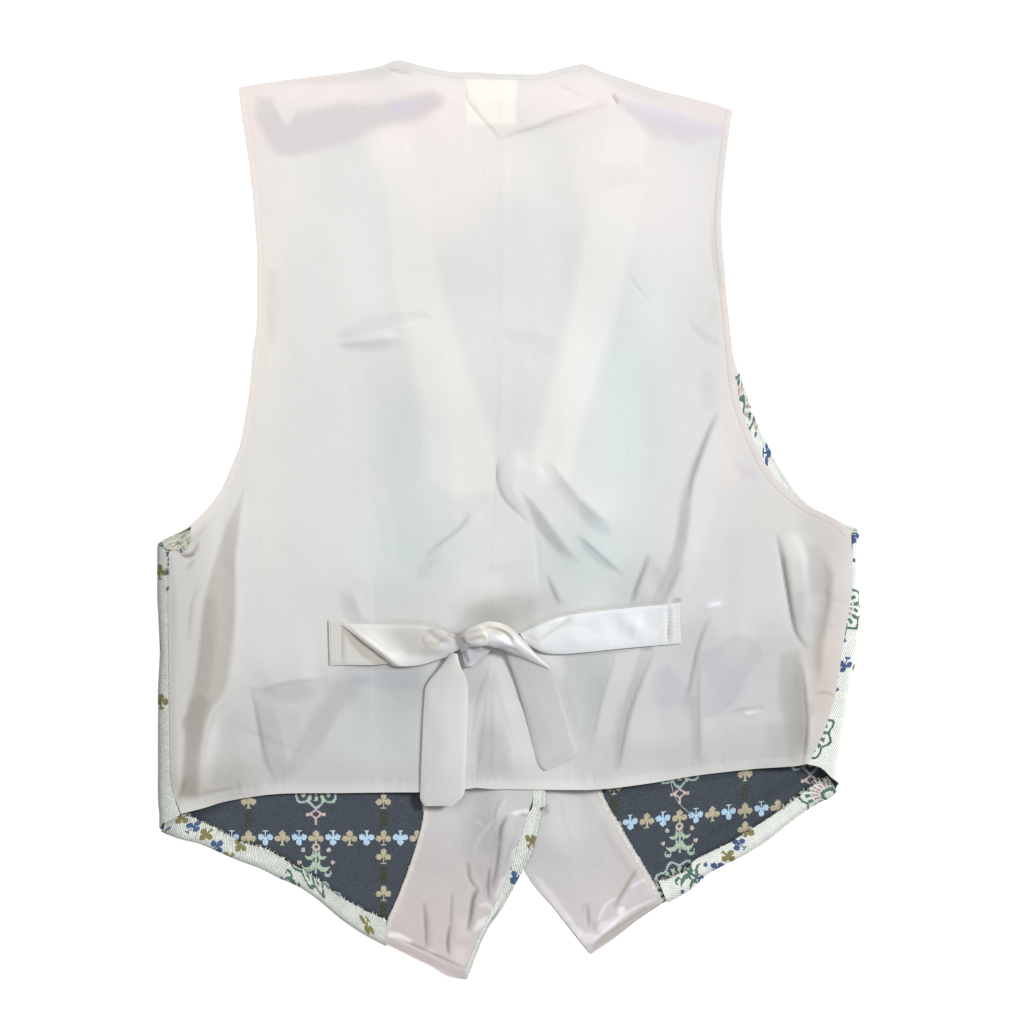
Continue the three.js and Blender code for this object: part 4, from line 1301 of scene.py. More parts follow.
# Parts of the back that the light strikes otherwise: rows of (name, outline, softness of its
# edge, how much darker, hue). A negative amount is lighter.
BACK_FACETS = [
    ("left band", [
        (-183, 20.5), (-193.5, -1.5), (-200, -19.5), (-210, -56.5), (-215.5, -105), (-218.5, -122),
        (-222, -135), (-223, -153), (-224, -174), (-226.5, -191), (-213.5, -189.5), (-213, -172.5),
        (-211.5, -155), (-208, -139.5), (-202.5, -127), (-197, -121.5), (-193, -112), (-189.5, -91),
        (-188, -69), (-187.5, -48.5), (-188, -27.5), (-186.5, -10.5), (-184.5, 7),
    ], 1.6, 0.18, BROWN),
    ("left band, dark side", [
        (-209, -55), (-218, -122), (-209, -126), (-205, -110), (-202, -90), (-201, -69), (-203, -52),
    ], 3, 0.11, GREY),
    ("left edge", [
        (-235, -25), (-231, -25), (-228.5, -55), (-229.5, -124), (-228.5, -186.5), (-233.5, -186.5),
        (-235, -124),
    ], 2, 0.14, GREY),
    ("left band, foot", [
        (-220, -124), (-222, -135), (-223, -153), (-224, -174), (-227, -191), (-215, -190),
        (-214, -166), (-211, -148), (-209, -135), (-205, -126), (-211, -121),
    ], 3, 0.2, GREY),
    ("left tent", [
        (-178.5, -116), (-191, -122), (-202, -129), (-208, -139.5), (-211.5, -155), (-213, -176),
        (-211.5, -185), (-185.5, -182), (-159.5, -181.5), (-164.5, -171), (-170, -155), (-174, -138),
    ], 1.6, 0.0, GREY),
    ("left tent, stripe", [
        (-202, -155), (-195, -141), (-187, -128), (-185, -152), (-185, -179), (-203, -184),
    ], 5, 0.05, GREY),
    ("right of the tent", [
        (-177, -117), (-170, -124), (-155, -128), (-145, -135), (-141, -152), (-147, -171),
        (-157, -181), (-163, -172), (-169, -155), (-174, -135),
    ], 3.4, 0.06, MAUVE),
    ("shelf", [
        (-180, -115), (-170, -117), (-156, -112), (-140, -110), (-125, -110), (-123, -115),
        (-133, -120), (-144, -125), (-154, -126), (-166, -124), (-173, -121),
    ], 3, 0.07, MAUVE),
    ("left diagonal", [
        (-118, -110), (-108, -108), (-94, -109), (-104, -122), (-115, -132), (-138, -166), (-149, -178),
        (-158, -178), (-137, -139), (-126, -123),
    ], 2.2, 0.08, MAUVE),
    ("below the left strap", [
        (-116, -102), (-89, -103), (-60, -102), (-60, -117), (-85, -117), (-109, -113),
    ], 3, 0.08, COOL),
    ("left, above the strap", [
        (-117.5, -49.5), (-110.5, -47), (-105, -54), (-99.5, -70.5), (-109.5, -70.5), (-115, -62),
    ], 2, 0.06, GREY),
    ("neckline, roll", [(-2, 45), (-4, 31), (-1, 21), (8, 14), (25, 14), (36, 28), (25, 40), (11, 47)],
        4, -0.02, GREY),
    ("neckline, second", [(7, 22), (15.5, 14), (25, 3), (50, -31), (25, -12.5), (19, -5), (11.5, 12.5)],
        0.8, 0.10, GREY),
    ("neckline, outer", [
        (22, 39), (33, 32), (67, -1), (71, -10), (63, -9), (52, -1), (42, 8), (26, 30),
    ], 2.4, 0.06, COOL),
    ("neckline, outer tip", [
        (50.5, 14), (62, 6), (69.5, -4), (71.5, -11.5), (64.5, -10.5), (56, -5), (47.5, 4),
    ], 1.2, 0.08, COOL),
    ("left of the seam, upper", [
        (-15.5, 24), (-19.5, 14), (-26, 3), (-32, -5.5), (-26.5, -3), (-18.5, 9), (-13.5, 19.5),
    ], 2, 0.04, GREY),
    ("left of the seam, foot", [(-60.5, -29.5), (-49.5, -27.5), (-55, -39.5), (-63, -39.5)], 2, 0.08,
        COOL),
    ("by the strap, warm", [
        (98, -25), (105, -34), (107, -48), (102, -58), (87, -59), (91, -46), (95, -34),
    ], 3, 0.04, GREY),
    ("above the knot", [
        (-43, -79), (-27, -60), (-17, -55), (2, -52), (17, -54), (19, -63), (18, -75), (8, -81),
        (-6, -84), (-27, -84),
    ], 3.4, 0.13, GREY),
    ("above the knot, core", [
        (-29, -75), (-22, -65), (-13, -61), (0, -62), (5, -68), (0, -79), (-20, -81),
    ], 4, 0.05, GREY),
    ("armhole to waist", [
        (144, 73), (138.5, 66), (127.5, 40), (119.5, 10.5), (117, -5.5), (113.5, -19.5), (108, -34.5),
        (97.5, -59.5), (107.5, -59.5), (113, -47), (118.5, -31.5), (122.5, -17), (125, 0), (126, 15),
        (128, 29), (138.5, 57.5),
    ], 1.4, 0.12, GREY),
    ("armhole to waist, upper", [(134, 106), (140, 103), (144, 88), (141, 75), (134, 76), (132, 91)], 3,
        0.05, MAUVE),
    ("right of it", [
        (145, 69), (151, 48), (147, 14), (136, -14), (125, -48), (118, -57), (125, -28), (138, 48),
    ], 4, -0.03, WARM),
    ("right, lavender", [(151, -8), (164, -6), (162, -41), (158, -83), (150, -83), (151, -48)], 4.5,
        0.035, MAUVE),
    ("right side, grey", [
        (205, -17), (214, -17), (220, -25), (224, -39), (220, -50), (209, -51), (205, -34),
    ], 3.4, 0.09, MAUVE),
    ("right side, crest", [(191, -11), (201, -10), (207, -25), (205, -48), (197, -51), (193, -32)], 2.4,
        -0.13, MAUVE),
    ("right side, light", [(194, -52), (209, -52), (216, -62), (214, -79), (205, -87), (199, -75)], 3,
        -0.04, WARM),
    ("side shadow", [
        (216, -28), (223, -36), (223, -58), (218, -79), (215, -105), (211, -113), (211, -83),
        (215, -58), (219, -47),
    ], 3, 0.12, WARM),
    ("side shadow, low", [
        (187, -93), (201, -90), (204, -117), (205, -152), (202, -171), (193, -167), (190, -138),
        (186, -117),
    ], 3.2, 0.17, WARM),
    ("below the strap, left", [
        (37, -93), (73, -90.5), (67.5, -110.5), (62, -125.5), (55, -147.5), (48, -153), (44, -124),
    ], 2, 0.08, COOL),
    ("below the strap, stripe", [
        (75, -91), (90, -89.5), (84.5, -109), (76, -127.5), (63, -169.5), (56, -169.5), (64, -127.5),
        (68.5, -110.5),
    ], 1.6, -0.05, COOL),
    ("below the strap, middle", [
        (90.5, -89.5), (100.5, -89), (95, -103.5), (88.5, -118), (83, -133), (79, -152.5), (76, -174),
        (71.5, -172.5), (75, -148.5), (79.5, -127.5), (85, -110.5),
    ], 1.4, 0.09, GREY),
    ("small lavender", [(99, -107.5), (110, -99.5), (125, -116), (122.5, -128.5), (102, -129.5)], 2,
        0.06, MAUVE),
    ("below the strap, right", [
        (132, -89.5), (131.5, -124), (126.5, -129.5), (123, -122), (126.5, -105),
    ], 1.2, 0.06, GREY),
    ("hem fold, right", [(124, -124), (131.5, -120), (133, -171), (128, -171), (127.5, -148.5)], 1.2,
        0.06, GREY),
    ("right, lower", [
        (133.5, -91), (143, -87.5), (157, -78.5), (171.5, -83.5), (176.5, -92.5), (167.5, -103.5),
        (155, -127.5), (143, -136), (133.5, -136.5),
    ], 1.6, 0.09, MAUVE),
    ("right, lower, light", [(177, -94), (198, -93), (196, -116), (158, -132), (167, -115)], 2.4, -0.03,
        GREY),
    ("right, low", [(136, -137), (200, -132), (201, -160), (167, -163), (136, -164)], 2.4, -0.02, WARM),
    ("right, low, stripe", [(176.5, -139.5), (190, -139.5), (193, -164), (180.5, -165.5)], 3.2, 0.06,
        GREY),
    ("below the knot", [(-26.5, -118.5), (-13, -105), (-11.5, -124), (-13, -182), (-28, -182)], 2, 0.05,
        GREY),
    ("between the tails, light", [
        (-13, -99.5), (-15.5, -113), (-19.5, -127.5), (-19.5, -138), (-3, -141.5), (2.5, -155),
        (16, -171), (19, -163), (10.5, -143.5), (1, -117.5), (-7, -100.5),
    ], 2, -0.04, GREY),
    ("between the tails, dark", [
        (-21, -148), (-11, -141), (-6, -148), (-2, -160), (0, -174), (-24, -181),
    ], 3, 0.06, GREY),
    ("peach", [(60.5, 243), (90.5, 244.5), (90.5, 232), (66, 227.5)], 4, 0.04, WARM),
    ("left shoulder edge", [
        (-151, 303), (-116.5, 307), (-88.5, 312), (-79, 310.5), (-87.5, 303.5), (-123, 301),
    ], 1.8, 0.08, WARM),
    ("right shoulder edge", [
        (67, 304), (91, 297), (151, 281), (149, 273), (132, 279), (105, 286), (77, 295),
    ], 2.2, 0.05, WARM),
    ("shoulder mark", [
        (-162.5, 289), (-158.5, 287), (-153, 278), (-149.5, 283.5), (-146.5, 280), (-153, 272),
        (-157, 276.5),
    ], 1.0, -0.07, GREY),
    ("right armhole, fold", [
        (144, 236), (145, 217.5), (143, 196.5), (145, 178), (149.5, 157.5), (144, 161), (139.5, 186.5),
        (141, 214),
    ], 1.4, 0.13, WARM),
    ("right armhole, wedge", [
        (125, 139.5), (132, 133), (143, 126.5), (146.5, 120), (136.5, 122), (128, 129.5),
    ], 1.2, 0.08, GREY),
    ("right armhole, olive", [(141, 152), (147.5, 147.5), (140.5, 136.5), (135, 130.5)], 2.4, 0.05,
        WARM),
    ("left armhole", [(-166, 174), (-160, 171), (-158, 145), (-161, 121), (-167, 123)], 2.2, 0.07,
        WARM),
    ("press, left", [
        (-118.5, 127.5), (-109.5, 134.5), (-99, 139.5), (-82, 143), (-57.5, 144), (-54, 140),
        (-71.5, 136), (-113, 124),
    ], 1.5, 0.07, GREY),
    ("press, left, light", [
        (-124.5, 125), (-102.5, 126.5), (-82, 130.5), (-73, 127), (-95.5, 124), (-120.5, 122),
    ], 1.2, -0.05, GREY),
    ("press, left, low", [
        (-119, 121.5), (-101, 123.5), (-75.5, 125.5), (-73, 120.5), (-88.5, 116.5), (-109.5, 116.5),
    ], 1.6, 0.07, COOL),
    ("press, right", [(-4, 132), (22.5, 131), (23, 123.5), (8, 120), (-1.5, 123.5)], 2, 0.045, WARM),
    ("press, right, low", [(15, 125.5), (34, 127), (33, 116), (19, 110.5)], 3.5, 0.035, GREY),
]
# The light comes from the right, so that a fold with its low line on the left is dark.
BACK_FOLDS = [
    ("left band", [
        (-195, 14), (-200, -17), (-207.5, -41.5), (-211.5, -62), (-213, -83), (-214, -100),
        (-219, -118.5), (-222.5, -131), (-224, -155), (-226, -191),
    ], [
        (-184.5, 22), (-184.5, 0), (-188, -20.5), (-188.5, -41.5), (-188, -55), (-190, -83),
        (-193, -98), (-195, -112), (-199, -123), (-207.5, -133), (-209.5, -149.5), (-212, -167),
        (-215, -189.5),
    ], 0.13, 1.0, 30, 0.05),
    ("left band, shadow", [(-195, 5.5), (-197.5, -14), (-197.5, -27.5), (-195, -48.5)], [
        (-184.5, 14), (-186, -3.5), (-188, -20.5), (-188.5, -45),
    ], 0.05, 1.0, 10, 0.02),
    ("armhole to waist", [
        (144, 72.5), (136.5, 62), (131, 51), (126.5, 40), (122, 27.5), (118.5, 14), (116.5, -1.5),
        (115, -15), (110, -29), (106.5, -43), (102.5, -56.5),
    ], [
        (144, 72.5), (141, 62), (137, 51.5), (133, 41.5), (128.5, 27.5), (126, 14), (124.5, -1.5),
        (123, -15), (119, -29), (115, -43), (110, -56.5),
    ], 0.21, 1.0, 18, 0.06),
    ("by the strap", [(97, -19.5), (89.5, -38.5), (82, -58.5)], [
        (97.5, -19.5), (93, -38.5), (86.5, -58.5),
    ], 0.23, 1.0, 12, 0.05),
    ("neckline, first", [(-1.5, 47), (-6.5, 38.5), (-8, 29), (-6, 20), (-1, 11.5), (6, 5), (12, -0.5)], [
        (9.5, 49.5), (5, 39.5), (3, 29), (4, 20.5), (6.5, 14.5), (10, 8.5), (14, 0.5),
    ], 0.13, 0.5, 16, 0.04),
    ("neckline, second", [(7, 22), (14, 9), (18.5, -3), (26.5, -15), (37, -25.5), (50, -32.5)], [
        (8, 22), (17.5, 11.5), (26, 0), (33.5, -10.5), (40.5, -20.5), (50, -32.5),
    ], 0.21, 1.0, 14, 0.05),
    ("neckline, outer", [(15, 43), (28.5, 26), (39.5, 12.5), (48, 0), (56, -7.5), (66, -11.5)], [
        (24, 45), (37, 30.5), (48.5, 15), (58.5, 5.5), (64.5, 0), (70.5, -7.5),
    ], 0.12, 2.2, 12, 0.04),
    ("neckline, third", [(44, -11), (50.5, -18.5), (60.5, -28.5), (69.5, -34.5), (80.5, -38)], [
        (44.5, -10.5), (54, -14.5), (64, -24), (72, -30.5), (80.5, -38),
    ], 0.21, 1.0, 12, 0.05),
    ("left of the seam", [
        (-29.5, 14), (-33.5, 3), (-41, -6), (-48.5, -14), (-55.5, -20.5), (-60.5, -27),
    ], [(-23, 14), (-26, 1.5), (-34, -8.5), (-43, -16.5), (-51.5, -25), (-57.5, -31)], 0.15, 2.2, 10,
        0.04),
    ("below the first", [(24.5, -36), (28, -47), (33, -58.5)], [(26, -36), (32, -47), (38.5, -59.5)],
        0.17, 1.0, 8, 0.04),
    ("right side, upper", [
        (185.5, -9), (188, -21.5), (190, -34.5), (192, -48.5), (194, -62), (197, -76), (202, -83.5),
        (206.5, -88.5),
    ], [
        (190, -7), (200, -20.5), (203, -34.5), (204, -48.5), (204, -62), (203, -73), (204.5, -80.5),
        (208, -87),
    ], 0.21, 0.45, 14, 0.10),
    ("right side, lower", [
        (191.5, -91), (190, -107), (187.5, -124), (186, -141.5), (188.5, -155), (193.5, -171),
    ], [(197.5, -89.5), (202, -103.5), (204, -119.5), (205.5, -133), (206, -150.5), (204, -171)], 0.12,
        2.4, 8, 0.08),
    ("right side, edge", [(204, -25), (208, -48.5), (207.5, -69), (205.5, -89.5), (205.5, -117.5)], [
        (219, -22), (224, -39.5), (220.5, -56.5), (217, -70.5), (216.5, -89.5), (215, -118.5),
    ], 0.08, 2.0, 9, 0.04),
    ("below the strap, right", [
        (137.5, -67), (133, -77.5), (129.5, -88.5), (126.5, -99.5), (123, -113), (120.5, -127),
        (118.5, -141),
    ], [
        (139.5, -67), (135.5, -77.5), (132, -88.5), (129.5, -99.5), (126.5, -113), (124.5, -127),
        (123, -141),
    ], 0.18, 1.0, 12, 0.04),
    ("hem fold, right", [(131, -91), (126.5, -110.5), (123, -127), (124.5, -146.5), (126.5, -171)], [
        (133, -91), (132, -110.5), (132, -129.5), (132, -150.5), (131.5, -172.5),
    ], 0.12, 1.6, 14, 0.04),
    ("below the strap, middle", [
        (89.5, -89.5), (86.5, -103.5), (82, -117.5), (76, -131), (72, -145), (71.5, -160), (71.5, -178),
    ], [
        (99.5, -89.5), (95, -103.5), (90, -117.5), (86.5, -129.5), (83, -143.5), (79, -160),
        (75.5, -178),
    ], 0.14, 1.3, 16, 0.04),
    ("below the strap, left", [
        (56, -91), (53.5, -107), (51.5, -122), (50, -136), (49.5, -152), (48, -165.5),
    ], [(72, -91), (68, -107), (64.5, -122), (62, -136), (59, -150.5), (56, -165.5)], 0.08, 2.0, 14,
        0.03),
    ("by the right tail", [(31.5, -110.5), (35.5, -124), (39.5, -139.5), (44.5, -155)], [
        (39.5, -99.5), (42.5, -117.5), (46.5, -134.5), (49.5, -155),
    ], 0.10, 1.0, 10, 0.02),
    ("below the knot", [(-13, -105), (-16, -120.5), (-18.5, -138), (-20.5, -157.5), (-22.5, -182)], [
        (-2.5, -117.5), (-4, -127.5), (-1, -145), (1.5, -162), (-0.5, -182),
    ], 0.10, 0.5, 18, 0.04),
    ("left, valley", [(-180.5, -115), (-175.5, -130.5), (-172, -149), (-169.5, -166.5), (-164, -183.5)], [
        (-170, -115), (-160.5, -132.5), (-155.5, -150.5), (-153.5, -166.5), (-155, -183.5),
    ], 0.09, 0.5, 14, 0.03),
    ("left, shelf", [(-167.5, -128.5), (-155, -127), (-142.5, -127), (-128.5, -123)], [
        (-173, -120), (-160.5, -113), (-145, -110.5), (-128.5, -107.5),
    ], 0.10, 1.3, 16, 0.03),
    ("left, diagonal", [
        (-119, -102), (-124.5, -113), (-132, -125.5), (-139, -139.5), (-146, -154.5), (-154, -171),
    ], [
        (-91.5, -103.5), (-104, -117.5), (-114, -127.5), (-119.5, -138), (-126.5, -152),
        (-135.5, -168.5),
    ], 0.07, 1.2, 20, 0.03),
    ("left, above the strap", [(-117.5, -48.5), (-116.5, -58), (-113, -69)], [
        (-108, -47), (-104.5, -58), (-100.5, -70.5),
    ], 0.07, 1.3, 9, 0.02),
    ("press, left", [(-53.5, 141.5), (-75, 141.5), (-90, 140), (-104, 137.5), (-119, 132.5)], [
        (-53.5, 138.5), (-65, 136), (-78.5, 132), (-90, 129), (-120.5, 125.5),
    ], 0.15, 1.5, 6, 0.05),
    ("press, left, low", [(-120.5, 115), (-102.5, 114.5), (-87.5, 115), (-73.5, 117.5)], [
        (-121, 123.5), (-102.5, 123), (-87.5, 125), (-73.5, 126.5),
    ], 0.10, 2.2, 5, 0.03),
    ("neck, right", [(-5, 261), (8.5, 265), (24, 268.5), (37.5, 272.5), (51.5, 276), (65, 281.5)], [
        (-6, 263), (8, 268.5), (22.5, 272.5), (36, 277.5), (50, 281.5), (71.5, 287.5),
    ], 0.15, 1.6, 12, 0.04),
]
# Zones of the back's colour as it looks lit, for painted(): partly the layers that show through the
# satin, and partly painted light and shade, lighter at the neck and shoulders and darker low down, by the
# knot, under the straps and along the left side.
BACK_ZONES = [
    ("left shoulder", (-130.1, 295.3), (60, 12), (242, 231, 227), 3.0),
    ("left shoulder tip", (-178.4, 269.1), (10, 36), (240, 224, 219), 2.5),
    ("right shoulder", (125.2, 284.3), (40, 12), (240, 230, 227), 3.0),
    ("neck, left", (-40.4, 282.9), (24, 18), (252, 239, 237), 2.5),
    ("neck, right", (42.4, 289.8), (30, 14), (253, 239, 237), 3.0),
    ("upper left", (-150.8, 227.7), (24, 40), (237, 233, 230), 2.0),
    ("left, cream", (-165.9, 131.1), (9, 90), (234, 229, 220), 2.5),
    ("upper middle", (-40.4, 241.5), (30, 34), (245, 236, 233), 2.5),
    ("upper centre", (5.9, 244.9), (26, 22), (244, 239, 235), 2.5),
    ("centre", (14.8, 179.4), (30, 70), (225, 226, 225), 2.5),
    ("below the right shoulder", (68.7, 241.5), (24, 34), (247, 241, 238), 3.0),
    ("beside the right mauve", (82.5, 260.8), (14, 10), (254, 242, 241), 2.0),
    ("beside the left mauve", (-79.7, 258.1), (14, 14), (254, 241, 236), 2.5),
    ("upper right", (111.4, 220.8), (30, 40), (242, 238, 237), 2.5),
    ("upper left, cool", (-99, 186.3), (16, 50), (231, 233, 230), 2.5),
    ("upper left, mottled", (-130.1, 151.8), (18, 50), (229, 226, 224), 2.0),
    ("left, teal", (-78.3, 58.6), (22, 26), (213, 221, 220), 2.5),
    ("left", (-143.9, 48.3), (40, 60), (222, 221, 219), 2.5),
    ("middle", (-36.9, -13.8), (50, 30), (219, 223, 219), 2.0),
    ("middle left, light", (-54.2, 31), (12, 34), (224, 233, 232), 2.0),
    ("centre, low", (2.4, 86.2), (14, 36), (214, 219, 219), 2.0),
    ("middle left, teal", (-74.9, -13.8), (22, 30), (210, 223, 223), 2.0),
    ("right, teal", (80.4, 75.9), (22, 60), (212, 224, 224), 3.0),
    ("right of it", (118.3, 69), (18, 60), (225, 227, 229), 2.0),
    ("right, light", (99, 141.4), (14, 28), (233, 238, 240), 2.0),
    ("right armhole", (152.8, 82.8), (8, 60), (233, 226, 222), 2.5),
    ("neckline", (56.2, -27.6), (30, 24), (192, 205, 205), 2.5),
    ("above the knot", (-7.2, -62.1), (20, 9), (184, 183, 178), 2.0),
    ("above the strap", (97.6, -44.8), (14, 16), (202, 203, 199), 2.5),
    ("left of it", (81.8, -48.3), (10, 12), (190, 197, 195), 3.0),
    ("left side", (-219.8, -82.8), (13, 90), (187, 185, 181), 4.0),
    ("left side, low", (-229.4, -165.6), (10, 40), (196, 194, 188), 2.0),
    ("left waist", (-157.7, -55.2), (34, 40), (209, 209, 207), 2.5),
    ("left, above the strap", (-95.6, -55.2), (26, 14), (200, 205, 204), 1.5),
    ("middle, low teal", (-61.1, -22.1), (22, 14), (212, 224, 224), 2.0),
    ("left tent", (-190.8, -138), (9, 24), (197, 196, 193), 3.0),
    ("left, low", (-156.3, -141.4), (44, 36), (185, 186, 186), 2.5),
    ("below the left strap", (-83.1, -115.9), (30, 18), (176, 180, 182), 3.0),
    ("below it", (-88.7, -150.4), (30, 20), (187, 195, 196), 2.5),
    ("left hem", (-123.2, -176.6), (70, 10), (190, 189, 189), 3.0),
    ("left hem corner", (-207.3, -184.9), (20, 10), (166, 163, 157), 6.0),
    ("left hem, folds", (-188, -178), (18, 12), (178, 177, 172), 4.0),
    ("under the knot", (-23.8, -111.8), (12, 12), (181, 183, 181), 3.0),
    ("beside the knot", (23.1, -55.9), (14, 8), (194, 197, 193), 2.5),
    ("below the knot", (-5.9, -151.8), (22, 30), (196, 198, 199), 2.5),
    ("right of the tails", (52.8, -110.4), (14, 26), (186, 189, 190), 2.5),
    ("below the right strap", (76.9, -124.2), (16, 40), (176, 180, 179), 2.0),
    ("right of it", (110.1, -117.3), (20, 30), (193, 194, 199), 2.5),
    ("below the right strap's end", (133.5, -82.8), (14, 16), (187, 191, 194), 2.5),
    ("right hem", (104.5, -164.2), (56, 12), (190, 190, 188), 3.0),
    ("right of the tails, low", (63.1, -162.1), (10, 20), (186, 189, 189), 3.0),
    ("right, lower", (152.8, -117.3), (20, 18), (192, 192, 198), 2.5),
    ("right, low", (163.2, -153.2), (34, 16), (190, 190, 188), 2.5),
    ("right, middle", (180.4, -100), (14, 26), (194, 194, 195), 3.0),
    ("right side, low", (216.3, -131.1), (8, 30), (198, 188, 182), 2.5),
    ("left of the band", (-178.4, -55.2), (8, 36), (205, 205, 203), 2.0),
    ("right", (156.3, -41.4), (26, 50), (215, 215, 216), 2.5),
    ("right, upper", (173.5, 0), (26, 16), (221, 218, 214), 2.0),
    ("right side", (220.5, -69), (8, 80), (222, 212, 206), 3.5),
    ("right side, grey", (209.4, -48.3), (9, 24), (205, 201, 202), 1.5),
]
LEFT_BAND = [
    (-97, 255.5), (-85, 221), (-80.5, 158.5), (-71.5, 124), (-61, 76), (-55.5, 27.5), (-40.5, 16.5),
    (-10, 16.5), (-10, 55), (-30, 100), (-49.5, 169), (-57.5, 221), (-72, 262),
]
RIGHT_BAND = [
    (68.5, 281.5), (55, 221), (44, 152), (35.5, 117.5), (26, 83), (16, 45), (21.5, 25), (39.5, 25),
    (53.5, 76), (66, 117.5), (77, 152), (89.5, 221), (93.5, 279),
]
# Patches of the back's colour: the facings and the label show through in their own colours. The shoulder
# and armhole patches are partly seam allowances showing through and partly painted shade, the right
# shoulder's shadow is painted shade, and the two glints are painted highlights.
BACK_PATCHES = [
    ("over the left facing", LEFT_BAND, 6, (237, 235, 231), 0.5),
    ("over the right facing", RIGHT_BAND, 5, (240, 238, 235), 0.55),
    ("left shoulder, dull", [
        (-174, 292), (-163, 291), (-153.5, 272.5), (-147.5, 281), (-128.5, 284.5), (-116.5, 287.5),
        (-88.5, 287), (-53, 296.5), (-44.5, 292), (-46, 285.5), (-62.5, 276), (-88.5, 272),
        (-109.5, 261), (-146.5, 251), (-160.5, 252), (-166, 261), (-174, 277.5),
    ], 3.6, (216, 208, 209), 0.85),
    ("left shoulder, mauve", [(-83, 288.5), (-61, 290.5), (-64, 281.5), (-79, 277.5)], 4,
        (217, 207, 224), 0.55),
    ("right shoulder, mauve", [
        (76, 291), (110, 283), (132, 276), (149, 272), (149, 266), (132, 263), (116, 264), (102, 269),
        (91, 277),
    ], 4.0, (219, 213, 225), 0.8),
    ("right shoulder, shadow", [
        (77, 290), (98, 277), (107, 267), (132, 262), (129, 258), (98, 264), (81, 282),
    ], 2.5, (219, 214, 214), 0.5),
    ("right armhole, lavender", [(156.5, 40), (168, 34.5), (173.5, 29), (161, 29)], 3, (213, 206, 220),
        0.7),
    ("label", [(-29.5, 304.5), (6, 304.5), (5, 273), (-28.5, 273)], 1.4, (251, 247, 237), 0.9),
    ("glint, upper", [(135, -60.5), (139.5, -57.5), (147.5, -56.5), (143, -60)], 0.9, (240, 243, 255),
        0.9),
    ("glint, lower", [(160.5, -134), (165.5, -132), (172, -132), (166.5, -134.5)], 0.9, (236, 238, 252),
        0.9),
]
LEVEL = 3.2  # underside of the back over one front and its facing
TOP_LEVEL = 2.0  # the same at the shoulder seams and the neck
SEAM_LEVEL = 2 * ROLL_RADIUS - 0.25  # the same at the side seams
STACK = BUTTON_CHANNEL + 2 * (TAPESTRY + SATIN + 2 * GAP) + 1.2  # the same over both fronts
PUFF = 0.12  # how far a doubled layer, such as a turned hem, stands up


def back_rest(x, y):
    """The underside of the back without its creases."""
    seam = np.where(x < 0, table_at(SIDES["left"], y, 2), table_at(SIDES["right"], y, 2))
    at_side = (1 - smoothstep(seam - np.abs(x), 0, 40)) * (1 - smoothstep(y, -15, 50))
    at_centre = (1 - smoothstep(np.abs(x - button_line(y)), 36, 100)) * (1 - smoothstep(y, 70, 160))
    edge = sorted(BACK_EDGES["left"]["top"] + BACK_EDGES["right"]["top"])
    below = np.interp(x, [p[0] for p in edge], [p[1] for p in edge]) - y
    level = LEVEL + (SEAM_LEVEL - LEVEL) * at_side + (STACK - LEVEL) * at_centre
    return TOP_LEVEL + (level - TOP_LEVEL) * smoothstep(below, 0, 22)


def back_height(x, y):
    """The underside of the back with its creases, folds, seam and the layers that show through."""
    seam = nearest(smooth_line(BACK_SEAM, 40), x, y)[0]
    height = back_rest(x, y) + creased(x, y, BACK_CREASES) + folded(x, y, BACK_FOLDS)[0]
    height -= 1.4 * lined(x, y, BACK_LINES)[1]
    height += PUFF * inside(LEFT_BAND, x, y, 4) + PUFF * inside(RIGHT_BAND, x, y, 4)
    height += PUFF * np.exp(-(((seam - 2.5) / 3) ** 2)) * smoothstep(y, -60, 40)
    return height


# Stitch lines run this far inside the edges.
HEM_BANDS = {"armhole": 4.4, "hem": 6.2, "top": 4.0}
backs = {}
for side in ("left", "right"):
    edges = BACK_EDGES[side]
    outer = border((edges["armhole"], 180), (edges["side"], 126))
    seam = border((BACK_SEAM, 306))
    top = border((edges["top"], 154))
    bottom = border((edges["hem"], 154))
    plane = filled(top, bottom, seam, outer)
    x, y = plane[..., 0], plane[..., 1]
    height = back_height(x, y)
    for band, depth in HEM_BANDS.items():
        off = np.abs(nearest(border((edges[band], 60)), x, y)[0])
        turned = PUFF * (1 - smoothstep(off, depth - 0.8, depth + 0.8))
        height += turned - PUFF * np.exp(-(((off - depth) / 0.9) ** 2))
    # The back's colour: its zones and patches as lit, then the painted shade of its folds and the painted
    # shade and highlights of its facets and sharp lines.
    tint = painted(x, y, (222, 222, 220), BACK_ZONES, BACK_PATCHES)
    tint = tint * (1 - folded(x, y, BACK_FOLDS)[1])[..., None]
    tint = tint * faceted(x, y, BACK_FACETS) * lined(x, y, BACK_LINES)[0]
    off = np.abs(nearest(border((edges["armhole"], 60)), x, y)[0])
    turned_in = 0.45 * (1 - smoothstep(off, 3.5, 7))[..., None]
    tint = tint * (1 - turned_in) + turned_in * linear((238, 226, 219)) / LIGHT
    hem, along = nearest(border((edges["hem"], 200)), x, y)
    in_hem = 1 - smoothstep(np.abs(hem), 5.6, 6.8)
    gathers = np.sin(240 * along + 5 * np.sin(31 * along)) * (0.5 + 0.5 * np.sin(17 * along + 2))
    gathers = gathers * np.exp(-(((np.abs(hem) - 7.5) / 3.5) ** 2))
    height = height + PUFF * gathers
    # Painted light and shade follow the gathers' height, and the hem band is made 5 % lighter.
    tint = tint * (1 + 0.05 * in_hem + 0.03 * gathers)[..., None]
    backs[side] = shell(f"back {side}", flat3(plane, height + SATIN / 2), SATIN, [back_satin], tint)
    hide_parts(f"back_{side}")

